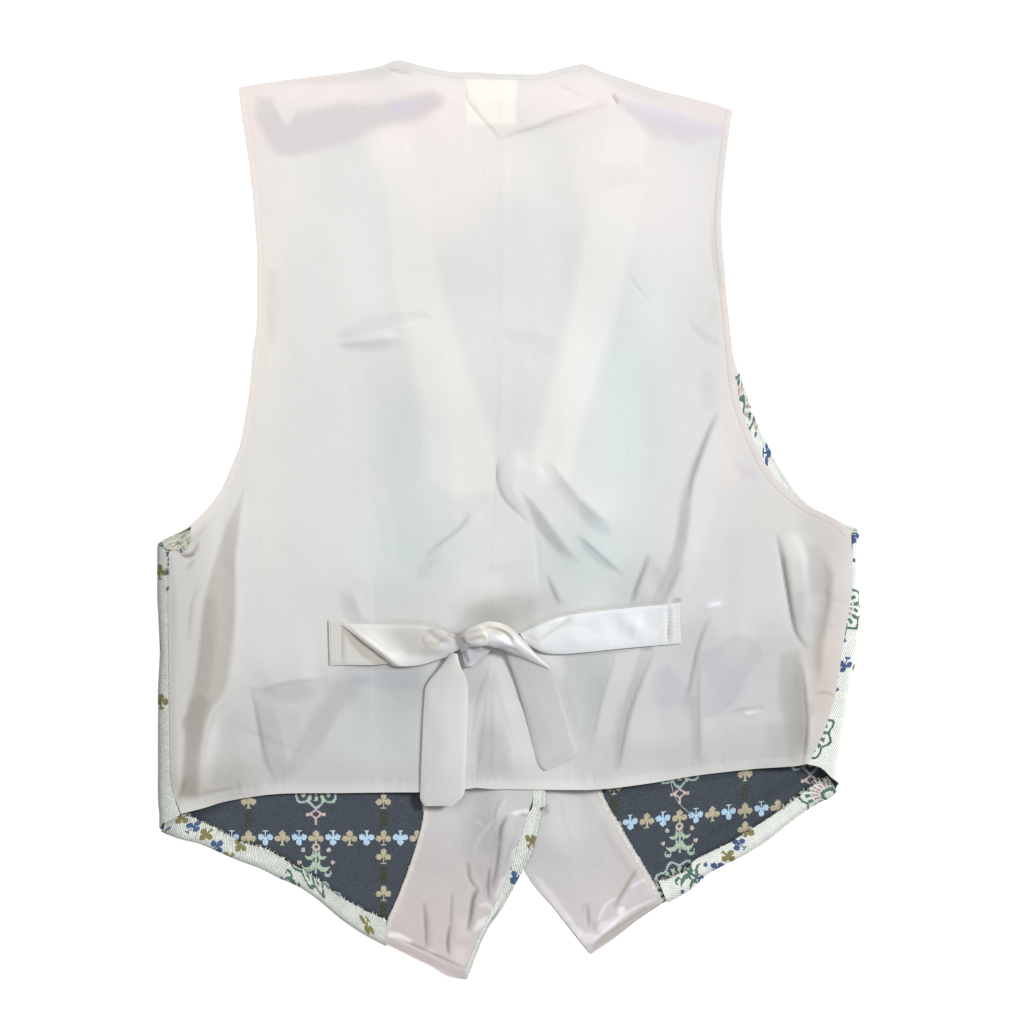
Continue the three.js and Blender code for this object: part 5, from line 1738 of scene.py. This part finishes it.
# The left armhole's hem is bunched up over the back at the underarm.
BUNCH = {
    "top": [(-238.4, -14.5), (-233.6, -12.1), (-228, -9.7), (-222.5, -6.9), (-218.4, -4.5)],
    "right": [(-218.4, -4.5), (-219.1, -8.3), (-218.4, -13.1), (-220.5, -17.2)],
    "bottom": [(-237, -18.6), (-232.9, -21.4), (-228, -20.7), (-223.9, -22.1), (-220.5, -17.2)],
    "left": [(-238.4, -14.5), (-237, -18.6)],
}
# Lines on the bunch, for lined(): painted shade along its dark edges, painted highlights on its ridges,
# olive lines for bits of the pattern, and a dark dot.
BUNCH_LINES = [
    ("dark edge", [(-226.5, -9.5), (-222, -7), (-217, -4.5)], 1.1, 0.7, GREY),
    ("dark edge, inner", [(-226.5, -12.5), (-222, -10.5)], 0.9, 0.4, WARM),
    ("olive", [(-233, -18), (-229.5, -17), (-226.5, -15)], 1.2, 0.5, BROWN),
    ("olive, short", [(-227.5, -17), (-224.5, -15)], 0.9, 0.42, BROWN),
    ("olive, upright", [(-222, -13), (-220.5, -16), (-221, -19.5)], 0.8, 0.42, BROWN),
    ("olive, middle", [(-225.5, -18), (-223, -19.5)], 0.9, 0.4, BROWN),
    ("dot", [(-224, -20.5), (-223, -21)], 0.7, 0.6, WARM),
    ("ridge", [(-234.5, -15), (-228.5, -14.5), (-224, -11.5)], 1.0, -0.1, GREY),
    ("ridge, low", [(-229.5, -20), (-225.5, -18.5), (-222.5, -16)], 1.0, -0.1, GREY),
]
left, right = border((BUNCH["left"], 30)), border((BUNCH["right"], 30))
plane = filled(border((BUNCH["top"], 54)), border((BUNCH["bottom"], 54)), left, right)
x, y = plane[..., 0], plane[..., 1]
light, sunk = lined(x, y, BUNCH_LINES)
rucks = np.sin(1.1 * x - 1.6 * y + 1.5 * np.sin(0.5 * x)) * 0.25 - sunk * 0.7
height = np.maximum(back_height(x, y) + SATIN, 2 * ROLL_RADIUS) + 0.35 + rucks
cloth = np.stack([x * 1.4 + 397, y * 1.4 + 39.5], -1) + 0.8 * np.sin(plane[..., ::-1] * 0.9)
# The bunch's colour as it looks lit, with its lines' painted shade and highlights, and painted light and
# shade that follow the rucks' height.
tint = np.ones((*x.shape, 3)) * (0.84, 0.82, 0.77) * light * (1 + 0.3 * rucks[..., None])
bunch = shell("bunched hem left", flat3(plane, height), 0.3, [faces["left"]], tint / LIGHT, cloth)
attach(bunch, "root")

# --- Label and buttons ----------------------------------------------------------------------

u, v = np.meshgrid(np.linspace(-28, 4, 30), np.linspace(304, 273, 30))
label_plane = np.stack([u, v], -1)
label = shell("neck label", flat3(label_plane, back_rest(u, v) - 0.45), 0.35, [label_tape])
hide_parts("neck_label")


def turned_mesh(name, profile, segments, material, centre):
    """A closed solid of revolution about a vertical line, from rows of (radius, height)."""
    mesh = bpy.data.meshes.new(name)
    rings = [p for p in profile if p[0] > 0]
    points = []
    for radius, height in rings:
        for i in range(segments):
            turn = 2 * math.pi * i / segments
            points.append((radius * math.cos(turn), radius * math.sin(turn), height))
    points += [(0, 0, profile[0][1]), (0, 0, profile[-1][1])]
    faces = []
    for r in range(len(rings) - 1):
        for i in range(segments):
            j = (i + 1) % segments
            below, above = r * segments, (r + 1) * segments
            faces.append([below + i, below + j, above + j, above + i])
    first, last = len(points) - 2, len(points) - 1
    top = (len(rings) - 1) * segments
    for i in range(segments):
        j = (i + 1) % segments
        faces.append([first, j, i])
        faces.append([last, top + i, top + j])
    placed = [((x + centre[0]) * MM, (y + centre[1]) * MM, (z + centre[2]) * MM) for x, y, z in points]
    mesh.from_pydata(placed, [], faces)
    mesh.materials.append(material)
    mesh.polygons.foreach_set("use_smooth", [True] * len(mesh.polygons))
    mesh.update()
    ob = add_object(name, mesh)
    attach(ob, "root")
    return ob


BUTTON_PROFILE = [
    (0, 0.75), (3.6, 0.7), (4.6, 0.3), (5.4, 0.0), (6.6, 0.05), (7.3, 0.5), (7.5, 1.1), (7.2, 1.8),
    (6.4, 2.2), (0, 2.2),
]
buttons = []
for number in range(BUTTON_LINE["count"]):
    y = BUTTON_LINE["first"] - number * BUTTON_LINE["spacing"]
    button = turned_mesh(f"button {number + 1}", BUTTON_PROFILE, 40, horn, (button_line(y), y, 0))
    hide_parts(f"button_{number + 1}")
    buttons.append(button)

# --- Belt -----------------------------------------------------------------------------------

EDGE_DROP = 0.35  # how far a ribbon's edges curl down
RIBBON = 0.8  # thickness of a ribbon, which is doubled
RIBBON_COLUMNS = 30  # across a ribbon
STATION_STEPS = 12  # between two stations


def ribbon(name, stations, creases, tone, zones=(), lines=(), facets=()):
    """Satin lofted through stations: rows of (one edge, other edge, heights over the back).

    The heights are those of the first edge, the middle and the other edge. The tables are those
    of creased(), painted(), lined() and faceted(). The tone and zones are the satin as it looks lit,
    with light and shade painted in.
    """
    first = through([(*a, h[0]) for a, _, h in stations], STATION_STEPS)
    last = through([(*b, h[2]) for _, b, h in stations], STATION_STEPS)
    middle = through([(h[1],) for _, _, h in stations], STATION_STEPS)
    u = np.linspace(0, 1, RIBBON_COLUMNS)[None, :, None]
    grid = first[:, None] * (1 - u) + last[:, None] * u
    x, y = grid[..., 0], grid[..., 1]
    crown = middle - (first[:, 2:] + last[:, 2:]) / 2
    bow = 1 - (2 * u[..., 0] - 1) ** 2
    edge = np.minimum(u[..., 0], 1 - u[..., 0]) * 2
    light, sunk = lined(x, y, lines)
    lift = grid[..., 2] + crown * bow + creased(x, y, creases) - 0.8 * sunk
    lift = lift - EDGE_DROP * (1 - smoothstep(edge, 0, 0.16))
    rest = back_rest(x, y) + SATIN + GAP + EDGE_DROP
    grid = flat3(grid[..., :2], rest + lift)
    tint = painted(x, y, tone, zones) * light * faceted(x, y, facets)
    ob = shell(name, grid, RIBBON, [back_satin], tint)
    return ob


# Every piece of the belt is the back's satin. Their different tones, their bright, glossy and lilac zones
# and lines, and the dark ones by the knot, in its loop and slit and under the straps, are painted light
# and shade.
belt_left_stub = ribbon(
    "belt strap left, sewn end",
    [
        ((-124.2, -69), (-123.2, -100.4), (0.3, 0.3, 0.3)),
        ((-115.6, -69.3), (-115.6, -100), (0.5, 0.6, 0.5)),
        ((-108, -71.8), (-106.6, -100), (0.6, 0.8, 0.8)),
        ((-94.2, -75.9), (-94.2, -100), (0.5, 0.8, 0.9)),
        ((-80.4, -82.8), (-79, -98.7), (0.3, 0.5, 0.5)),
    ],
    [("stitched", [(-115.5, -67.5), (-115.5, -101.5)], 1.5, -0.5, 0)],
    (212, 210, 205),
    facets=[
        ("under the strap", [
            (-115.5, -71), (-113, -78.5), (-108.5, -86), (-101, -94), (-91.5, -99.5), (-77.5, -100.5),
            (-86, -91), (-98.5, -81.5), (-109.5, -74.5),
        ], 1.2, 0.25, WARM),
        ("along the seam", [(-116.5, -70.5), (-113.5, -76), (-112, -99.5), (-116.5, -99.5)], 1, 0.06,
            GREY),
    ],
)
belt_left = ribbon(
    "belt strap left",
    [
        ((-114.9, -72.1), (-79, -100.4), (0.9, 1.8, 1.1)),
        ((-108, -71.8), (-74.9, -100.7), (1.6, 2.9, 1.8)),
        ((-94.2, -72.1), (-68.7, -100.7), (1.2, 1.8, 1.2)),
        ((-78.3, -72.4), (-60.4, -99.7), (1.0, 1.6, 1.0)),
        ((-62.4, -72.8), (-51.4, -96.9), (1.4, 2.8, 1.8)),
        ((-50, -74.5), (-42.4, -93.5), (2.4, 4.6, 2.8)),
        ((-40.4, -78), (-36.2, -89.7), (4.0, 6.0, 4.2)),
        ((-32.1, -80.7), (-31.4, -87.6), (5.0, 6.4, 5.2)),
    ],
    [
        ("diagonal", [(-112, -73), (-95.5, -85.5), (-76, -99.5)], 2.4, 0.8, 0),
        ("by the knot", [(-58.5, -74.5), (-47.5, -83), (-36, -85.5)], 3, -0.9, 0),
        ("by the knot, low", [(-61, -91), (-47.5, -88.5), (-35, -85)], 3, 0.8, 0),
        ("middle", [(-85, -76), (-75, -87), (-66.5, -96.5)], 6, -0.5, 0),
    ],
    (219, 217, 212),
    [
        ("bright fold", (-92.1, -82.8), (8, 8), (236, 235, 231), 1.0),
        ("warm", (-71.4, -78.7), (14, 6), (208, 205, 198), 1.5),
        ("glossy", (-76.2, -92.5), (5, 3), (246, 247, 247), 1.0),
        ("glossy, low", (-59.7, -96.6), (20, 3), (238, 240, 242), 2.0),
        ("by the knot", (-39, -86.9), (7, 4), (236, 237, 246), 1.5),
    ],
    [
        ("ridge", [(-109.5, -73), (-97, -82), (-84.5, -93)], 1.1, -0.06, GREY),
        ("beside the ridge", [(-106.5, -72.5), (-93, -83), (-82, -91)], 1.1, 0.08, WARM),
        ("pleat, left", [(-50, -74.5), (-56, -78.5), (-59, -83), (-54, -88.5), (-50, -90.5)], 1.1, 0.16,
            WARM),
        ("pleat, top", [(-58.5, -77.5), (-50.5, -75), (-41.5, -79.5)], 1.1, 0.12, WARM),
        ("pleat, right", [(-55.5, -83), (-50.5, -86), (-46.5, -83.5), (-41, -80)], 1.1, 0.18, WARM),
        ("low", [(-76, -88.5), (-66.5, -91), (-55.5, -88.5)], 1.4, 0.06, GREY),
        ("end", [(-43, -77.5), (-39, -80), (-35, -81.5)], 1.1, 0.35, WARM),
    ],
)
belt_right = ribbon(
    "belt strap right",
    [
        ((117.6, -57.6), (119, -85.2), (0.3, 0.3, 0.3)),
        ((110.1, -58.3), (110.4, -85.9), (0.5, 0.7, 0.5)),
        ((90.7, -60), (91.4, -87.3), (0.7, 1.3, 0.7)),
        ((70, -62.1), (68, -89.4), (0.7, 1.4, 0.7)),
        ((50.7, -64.2), (47.3, -91.4), (0.8, 1.8, 0.8)),
        ((34.2, -67.3), (32.8, -92.1), (1.2, 2.8, 1.0)),
        ((20.4, -72.4), (22.4, -90.4), (2.0, 3.8, 1.6)),
        ((7.9, -78), (12.1, -85.6), (3.0, 4.4, 2.4)),
    ],
    [
        ("stitched", [(110, -56.5), (110, -87.5)], 1.5, -0.5, 0),
        ("by the knot", [(17.5, -87), (30, -76), (45, -66)], 3, -1.1, 0.3),
        ("by the knot, upper", [(13.5, -80), (25, -72), (39.5, -66)], 3, 0.9, 0),
        ("lower", [(35.5, -80), (56, -84), (77, -77.5)], 5, 0.6, 0),
        ("glint", [(75.5, -65), (90.5, -76), (95, -87)], 5, 0.6, 0),
        ("dip", [(63, -63.5), (75.5, -74.5), (78.5, -87)], 6, -0.6, 0),
    ],
    (228, 231, 233),
    [
        ("end", (114.2, -71.8), (4, 16), (224, 225, 222), 2.5),
        ("by the knot", (13.5, -81.4), (6, 5), (210, 210, 206), 2.0),
    ],
    [
        ("diagonal", [(19, -87), (22.5, -81.5), (44.5, -67)], 1.3, 0.2, WARM),
        ("diagonal, short", [(10.5, -78), (16, -80.5), (20.5, -83)], 1.1, 0.14, WARM),
        ("edge of the triangle", [(35.5, -78), (46, -74), (59, -78.5), (74, -85.5)], 1.1, -0.05, COOL),
        ("streak", [(84, -73), (85, -77.5), (86, -81.5)], 1.5, 0.1, COOL),
        ("streak, light", [(91.5, -63), (89.5, -72), (88, -83)], 1.6, -0.06, MAUVE),
        ("streak, right", [(97.5, -83), (102, -77.5), (105, -73)], 1.3, -0.06, GREY),
        ("by the box", [(110.5, -70.5), (110, -77.5), (110.5, -84)], 1.1, 0.22, WARM),
        ("box", [(111.5, -58), (112, -72), (112.5, -85)], 1.1, 0.12, GREY),
    ],
    [
        ("over the triangle", [(49, -72), (63, -63), (78, -63), (78, -84), (74, -85), (60, -79)], 3,
            0.05, GREY),
        ("right of the streak", [(93.5, -61.5), (108, -59.5), (108, -84), (96.5, -85)], 2.5, 0.05,
            MAUVE),
    ],
)
belt_tail_left = ribbon(
    "belt tail left",
    [
        ((-39, -91.1), (-35.5, -91.8), (4.2, 5.0, 4.2)),
        ((-46.6, -101.4), (-32.8, -101.4), (2.2, 3.0, 2.2)),
        ((-55.9, -113.2), (-28.6, -110.4), (1.0, 1.4, 1.0)),
        ((-58, -125.6), (-27.9, -118.7), (0.5, 0.9, 0.5)),
        ((-59.3, -153.2), (-28.6, -151.8), (0.5, 0.8, 0.5)),
        ((-60.4, -182.2), (-29.7, -181.5), (0.5, 0.8, 0.5)),
        ((-60.7, -191.8), (-31.4, -189.7), (0.5, 0.7, 0.5)),
        ((-57.6, -197), (-38.3, -196.3), (0.4, 0.5, 0.4)),
    ],
    [
        ("seam side", [(-58.5, -124), (-60.5, -186.5)], 2, 0.3, 0),
        ("soft", [(-48.5, -117.5), (-44.5, -152), (-47.5, -186.5)], 8, 0.5, 0),
    ],
    (216, 217, 215),
    [
        ("low", (-47.3, -186.3), (20, 12), (210, 207, 205), 1.0),
        ("tip", (-40.4, -100), (8, 8), (220, 219, 214), 1.0),
    ],
    [
        ("right fold", [(-35, -99.5), (-31.5, -107.5), (-28.5, -116)], 1.1, 0.1, GREY),
        ("hem", [(-58.5, -192), (-53, -194.5), (-40.5, -194), (-32, -187.5)], 1.1, 0.06, GREY),
        ("side", [(-56, -117.5), (-57, -152), (-58.5, -186.5)], 1.1, 0.05, GREY),
    ],
)
belt_tail_right = ribbon(
    "belt tail right",
    [
        ((-2.4, -89.7), (22.4, -97.3), (3.0, 3.5, 3.0)),
        ((0.3, -96.6), (30, -102.8), (1.8, 2.4, 2.0)),
        ((5.9, -113.2), (34.2, -114.5), (0.9, 1.4, 1.0)),
        ((12.1, -135.2), (39, -131.8), (0.6, 1.0, 0.6)),
        ((17.2, -155.9), (43.8, -149), (0.5, 0.9, 0.5)),
        ((20.7, -167.7), (47.3, -159.7), (0.5, 0.7, 0.5)),
        ((25.2, -172.5), (42.4, -164.6), (0.4, 0.5, 0.4)),
    ],
    [("soft", [(11.5, -110.5), (25, -138), (33, -162)], 9, 0.4, 0)],
    (197, 197, 196),
    [("low", (35.5, -162.1), (18, 10), (206, 204, 202), 1.5)],
    [
        ("hem", [(22.5, -168.5), (30, -165.5), (42.5, -160)], 1.1, 0.06, GREY),
        ("side", [(2.5, -102), (10.5, -125.5), (20.5, -157.5)], 1.1, 0.06, GREY),
    ],
)
knot_arch = ribbon(
    "belt knot, arch",
    [
        ((-31.4, -84.2), (-25.2, -86.9), (5.0, 6.5, 5.0)),
        ((-26.6, -75.9), (-18.3, -86.2), (7.0, 10.5, 7.5)),
        ((-19.7, -71.1), (-12.8, -86.9), (7.5, 12.0, 8.0)),
        ((-11.4, -69.7), (-6.6, -87.6), (7.0, 11.0, 7.0)),
        ((-1.7, -72.4), (1.7, -91.1), (5.5, 8.6, 5.2)),
        ((7.2, -79.3), (9.3, -94.5), (4.4, 6.6, 4.0)),
        ((17.6, -91.1), (18.3, -98.3), (3.6, 4.6, 3.4)),
        ((27.3, -100.7), (27.3, -101.8), (2.8, 2.9, 2.8)),
    ],
    [
        ("groove", [(-17, -74.5), (-7, -76), (-0.5, -80.5), (5, -88.5)], 2.0, -1.0, 0.2),
        ("lower lip", [(-15.5, -83), (-4.5, -83), (5, -89.5)], 1.8, 0.5, 0),
    ],
    (210, 210, 208),
    [
        ("rim", (-11.4, -71.1), (14, 2.5), (224, 221, 212), 1.5),
        ("lilac", (-7.2, -82.8), (12, 2.5), (224, 225, 238), 1.5),
        ("far", (14.8, -93.1), (12, 6), (196, 198, 200), 2.0),
    ],
    [
        ("groove", [(-15.5, -73), (-7, -75), (-0.5, -78), (4, -83)], 1.4, 0.5, WARM),
        ("groove, inner", [(-13.5, -76.5), (-8.5, -77.5), (-4.5, -79.5)], 1.1, 0.18, WARM),
        ("slit", [(-26.5, -86), (-19.5, -86.5), (-10, -87)], 1.1, 0.6, GREY),
        ("lower", [(-8, -87.5), (-0.5, -87), (6.5, -89.5)], 1.1, 0.18, GREY),
        ("outer pleat", [(-6, -71), (2.5, -76), (9.5, -83.5), (16, -92.5)], 1.1, 0.16, WARM),
        ("inner pleat", [(-2.5, -86), (4, -88.5), (10.5, -94)], 1.1, 0.2, GREY),
        ("tip", [(10.5, -85), (17.5, -93), (25, -100)], 1.2, 0.04, GREY),
    ],
)
knot_wrap = ribbon(
    "belt knot, wrap",
    [
        ((-36.2, -82.8), (-32.1, -90.4), (4.5, 5.5, 4.5)),
        ((-32.8, -78), (-26.6, -86.9), (8.0, 11.5, 8.0)),
        ((-26.6, -73.8), (-19.7, -86.2), (10.0, 13.6, 10.0)),
        ((-19.7, -71.8), (-13.5, -84.9), (10.0, 13.4, 9.5)),
        ((-14.8, -73.8), (-10.7, -83.5), (8.0, 10.5, 7.6)),
    ],
    [("crease", [(-30.5, -84), (-22.5, -81.5), (-14, -80)], 1.8, -0.9, 0)],
    (216, 214, 207),
    [
        ("lilac", (-21, -84.2), (10, 2), (232, 233, 242), 1.5),
        ("left", (-32.8, -84.2), (3, 5), (212, 209, 211), 1.2),
    ],
    [
        ("slit", [(-31.5, -80), (-30, -83), (-26.5, -85.5)], 1.1, 0.5, WARM),
        ("fold", [(-28, -78), (-22.5, -76), (-15.5, -74.5)], 1.1, 0.2, WARM),
        ("fold, low", [(-26.5, -82), (-21, -80), (-15.5, -78.5)], 1.1, 0.16, GREY),
    ],
)
knot_pocket = ribbon(
    "belt knot, loop",
    [
        ((-34.2, -86.9), (-10, -86.2), (4.0, 6.5, 4.0)),
        ((-32.1, -91.8), (-13.5, -90.4), (3.2, 6.0, 3.4)),
        ((-30.7, -96.6), (-18.3, -95.2), (2.6, 5.0, 2.8)),
        ((-29.3, -101.1), (-23.8, -99.4), (1.8, 3.0, 2.0)),
    ],
    [("left groove", [(-31.5, -88.5), (-29.5, -94), (-28, -99.5)], 1.5, -1.2, 0)],
    (197, 197, 201),
    [
        ("dark", (-32.1, -91.1), (2.5, 5), (150, 146, 144), 1.2),
        ("lilac", (-27.9, -98.7), (5, 3), (238, 236, 250), 2.0),
        ("lilac, left", (-27.9, -92.5), (2, 5), (240, 238, 252), 1.8),
    ],
    [("upper", [(-26.5, -88.5), (-19.5, -89.5), (-12, -87.5)], 1.4, 0.3, GREY)],
)
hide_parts("belt_strap_left")
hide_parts("belt_strap_right")
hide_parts("belt_tail_left")
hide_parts("belt_tail_right")
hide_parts("belt_knot")

# --- Stitches -------------------------------------------------------------------------------

SEWING_RADIUS = 0.22
THREAD_RADIUS = 0.2  # of the cloth's own threads


def threads(name, pieces, radius, material):
    """Short threads joined in one mesh. Each piece is a pair of ends in millimetres."""
    ends = np.array(pieces, float)
    a, b = ends[:, 0], ends[:, 1]
    way = b - a
    length = np.linalg.norm(way, axis=1, keepdims=True)
    way = way / np.maximum(length, 1e-6)
    flat = np.abs(way[:, 2:3]) > 0.9
    helper = np.where(flat, [[1.0, 0, 0]], [[0, 0, 1.0]])
    side = np.cross(way, helper)
    side /= np.linalg.norm(side, axis=1, keepdims=True)
    up = np.cross(side, way)
    rings = []
    for share, size in ((0.0, 0.45), (0.25, 1.0), (0.75, 1.0), (1.0, 0.45)):
        centre = a + (b - a) * share
        for turn in range(4):
            angle = math.pi / 4 + turn * math.pi / 2
            rings.append(centre + radius * size * (side * math.cos(angle) + up * math.sin(angle)))
    points = np.stack(rings, 1).reshape(-1, 3) * MM
    pattern = []
    for ring in range(0, 12, 4):
        for turn in range(4):
            following = (turn + 1) % 4
            pattern.append([ring + turn, ring + following, ring + 4 + following, ring + 4 + turn])
    pattern += [[3, 2, 1, 0], [12, 13, 14, 15]]
    faces = (np.array(pattern)[None] + 16 * np.arange(len(ends))[:, None, None]).reshape(-1, 4)
    mesh = bpy.data.meshes.new(name)
    mesh.from_pydata([tuple(p) for p in points.tolist()], [], faces.tolist())
    mesh.materials.append(material)
    mesh.update()
    ob = add_object(name, mesh)
    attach(ob, "root")
    return ob


def inset(line, depth):
    """The line moved sideways to its right by a depth."""
    way = np.gradient(line, axis=0)
    way /= np.linalg.norm(way, axis=1, keepdims=True)
    return line + np.stack([way[:, 1], -way[:, 0]], 1) * depth


def stitch_row(line, height_at, stitch=2.1, gap=0.9):
    """Stitches along a line, lying on a surface."""
    total = np.linalg.norm(np.diff(line, axis=0), axis=1).sum()
    count = max(1, int(total / (stitch + gap)))
    dense = evenly(line, count * 2 + 1)
    pieces = []
    for i in range(count):
        a, b = dense[2 * i], dense[2 * i + 1]
        b = a + (b - a) * min(1.0, 2 * stitch / (stitch + gap))
        heights = height_at(np.array([a[0], b[0]]), np.array([a[1], b[1]]))
        pieces.append(((*a, heights[0]), (*b, heights[1])))
    return pieces


def on_back(x, y):
    """The height at which a stitch lies on the back."""
    return back_height(x, y) + SATIN + 0.05


def on_belt(x, y):
    """The height at which a stitch lies on a sewn end of the belt."""
    return back_rest(x, y) + SATIN + GAP + 1.25


sewing = []
for side, s in (("left", 1), ("right", -1)):
    edges = BACK_EDGES[side]
    sewing += stitch_row(inset(border((edges["armhole"], 160)), -s * HEM_BANDS["armhole"]), on_back)
    sewing += stitch_row(inset(border((edges["hem"], 120)), s * HEM_BANDS["hem"]), on_back)
neck = BACK_EDGES["left"]["top"][5::-1] + BACK_EDGES["right"]["top"][1:5]
sewing += stitch_row(inset(smooth_line(neck, 80), HEM_BANDS["top"]), on_back)
BELT_ROWS = [
    ((-116.6, -69.7), (-116.6, -99.7)),
    ((-122.5, -70.4), (-121.8, -99.4)),
    ((110.4, -59), (111.1, -85.6)),
    ((116.3, -58.6), (117.3, -84.5)),
]
for row in BELT_ROWS:
    sewing += stitch_row(np.array(row), on_belt, 1.8, 0.8)
stitches = threads("stitches", sewing, SEWING_RADIUS, thread)

# Cut edges: rows of (side, edge it starts from, cut edge, share of it from and to, threads, how
# far they stand out, how far they reach back, share of dark ones).
FRAYED = [
    ("left", *HEM_LINES["left"], 0.0, 1.0, 230, 2.2, 1.0, 0.25),
    ("right", *HEM_LINES["right"], 0.0, 0.28, 70, 3.0, 1.0, 0.35),
    ("right", *HEM_LINES["right"], 0.28, 0.86, 70, 1.0, 0.7, 0.6),
    ("right", *HEM_LINES["right"], 0.86, 1.0, 34, 2.4, 1.2, 0.35),
]
random = np.random.default_rng(5)
frayed = {"light": [], "dark": [], "blue": []}


def fray(side, edge, cut, first, last, count, out, back, dark, depths):
    """Threads across a cut edge, each at its own angle and length."""
    picks = np.sort(random.uniform(first, last, count) * 400).astype(int)
    along = [border((line, 400))[picks] for line in (edge, cut)]
    way = along[1] - along[0]
    way /= np.linalg.norm(way, axis=1, keepdims=True)
    turn = random.normal(0, 0.5, count)
    cosine, sine = np.cos(turn), np.sin(turn)
    turned_x = way[:, 0] * cosine - way[:, 1] * sine
    turned_y = way[:, 0] * sine + way[:, 1] * cosine
    turned = np.stack([turned_x, turned_y], 1)
    reach = out * random.uniform(0.25, 1.0, (count, 1)) ** 1.5
    starts = rolled(side, along[1] - turned * back, depths[0])
    ends = rolled(side, along[1] + turned * reach, depths[1])
    for a, b, pick in zip(starts, ends, random.uniform(0, 1, count)):
        frayed["dark" if pick < dark else "light"].append((a, b))


for row in FRAYED:
    fray(*row, depths=(2.2, 1.6))
facing_top = FACING_REST + SATIN + 0.45
for side, s in (("left", 1), ("right", -1)):
    outer = border((FACING_EDGES[side]["outer"], 60))
    fray(side, inset(outer, -s * 3), outer, 0.1, 0.97, 150, 0.9, 3.2, 0.0, depths=(facing_top, 1.6))
loose_line = smooth_line([(112.1, -181.5), (114.9, -191.1), (119.7, -198), (127.3, -204.2)], 24)
loose = rolled("right", loose_line, 1.4)
frayed["light"] += list(zip(loose[:-1], loose[1:]))
# Inked threads along the left side seam: rows of (centre, how wide the group is).
SPECKS = [
    ((-234.7, -19.3), 1.0),
    ((-234.9, -24.1), 2.0),
    ((-234.3, -27.6), 0.9),
    ((-234.5, -31), 1.2),
    ((-234.8, -35.9), 2.6),
    ((-234.8, -47.6), 1.7),
]
for centre, width in SPECKS:
    apart = random.uniform(-0.5, 0.5, (int(14 * width), 2))
    for x, y in np.array(centre) + apart * (0.9 * width, 1.5 * width):
        start = (x, y, 2 * ROLL_RADIUS + 0.15)
        frayed["blue"].append((start, (x + 0.6, y + 0.8, 2 * ROLL_RADIUS + 0.2)))
for shade, colour in (("light", (224, 224, 212)), ("dark", (58, 64, 66)), ("blue", (72, 80, 104))):
    dyed = plain_material(f"cut thread, {shade}", colour, 0.9)
    ends = threads(f"cut threads, {shade}", frayed[shade], THREAD_RADIUS, dyed)

# --- Cloth, not declared --------------------------------------------------------------------

# Lengths for the strips, in metres, which declare() does not use. They are rounded guesses, and
# the hems of both sides share one although the left ones are longer.
HEM_LENGTH = 0.16
ARMHOLE_HEM_LENGTH = 0.33
TURNED_EDGE_LENGTH = 0.37


def declare(ob, length=None, cut=None):
    """Reads the points of a sheet's mesh, and declares nothing.

    It finds no flat size. length is not used, and nor is cut, the size that a sheet which wraps
    round a side has unrolled.
    """
    co = np.empty(len(ob.data.vertices) * 3)
    ob.data.vertices.foreach_get("co", co)
    if cut is not None:
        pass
    elif length is not None:
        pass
    else:
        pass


for side in ("left", "right"):
    declare(fronts[side], cut=front_cuts[side])
    declare(facings[side])
    declare(backs[side])
    declare(hems[side], length=HEM_LENGTH)
    declare(armhole_hems[side], length=ARMHOLE_HEM_LENGTH)
declare(turned_edge, length=TURNED_EDGE_LENGTH)
declare(bunch)
declare(label)
for piece in (belt_left_stub, belt_left, belt_tail_left):
    declare(piece)
for piece in (belt_right, belt_tail_right):
    declare(piece)
declare(knot_arch)
for piece in (knot_wrap, knot_pocket):
    declare(piece)

# --- Stage ----------------------------------------------------------------------------------

FLOOR_REACH = 4.0  # in metres, from the middle
FLOOR_DROP = 0.0004  # of the floor below the cloth

corners = [(sx * FLOOR_REACH, sy * FLOOR_REACH, 0) for sx, sy in ((-1, -1), (1, -1), (1, 1), (-1, 1))]
floor_mesh = bpy.data.meshes.new("floor")
floor_mesh.from_pydata(corners, [], [(0, 1, 2, 3)])
floor = add_object("floor", floor_mesh)
floor.location.z = -FLOOR_DROP
floor_material, _, floor_shader = new_material("floor", 0.9, 0.1)
floor_shader.inputs["Base Color"].default_value = (0.93, 0.93, 0.93, 1)
floor_shader.inputs["Emission Color"].default_value = (1, 1, 1, 1)
floor_shader.inputs["Emission Strength"].default_value = 0.55
floor_mesh.materials.append(floor_material)

world = bpy.data.worlds.new("studio")
world.use_nodes = True
world.node_tree.nodes["Background"].inputs["Color"].default_value = (1, 1, 1, 1)
world.node_tree.nodes["Background"].inputs["Strength"].default_value = 0.46
bpy.context.scene.world = world


def light(name, kind, place, energy, size):
    """A light that shines on the origin. The size is a sun's angle or a disk's width."""
    data = bpy.data.lights.new(name, kind)
    data.energy = energy
    if kind == "SUN":
        data.angle = size
    else:
        data.shape = "DISK"
        data.size = size
    ob = bpy.data.objects.new(name, data)
    bpy.context.scene.collection.objects.link(ob)
    ob.location = place
    ob.rotation_euler = ob.location.to_track_quat("Z", "Y").to_euler()


light("key", "SUN", (1.6, 0.8, 1.35), 3.67, 0.26)
light("fill", "AREA", (-0.6, 1.2, 2.0), 10, 1.6)

LENS = 85
SENSOR = 36
VIEW_WIDTH = 0.7066  # of the floor across the view, in metres

camera_data = bpy.data.cameras.new("camera")
camera_data.lens = LENS
camera_data.sensor_width = SENSOR
camera = bpy.data.objects.new("camera", camera_data)
bpy.context.scene.collection.objects.link(camera)
camera.location = (0.0024, 0.0055, VIEW_WIDTH / SENSOR * LENS + 0.004)
bpy.context.scene.camera = camera

bpy.context.scene.view_settings.view_transform = "Standard"
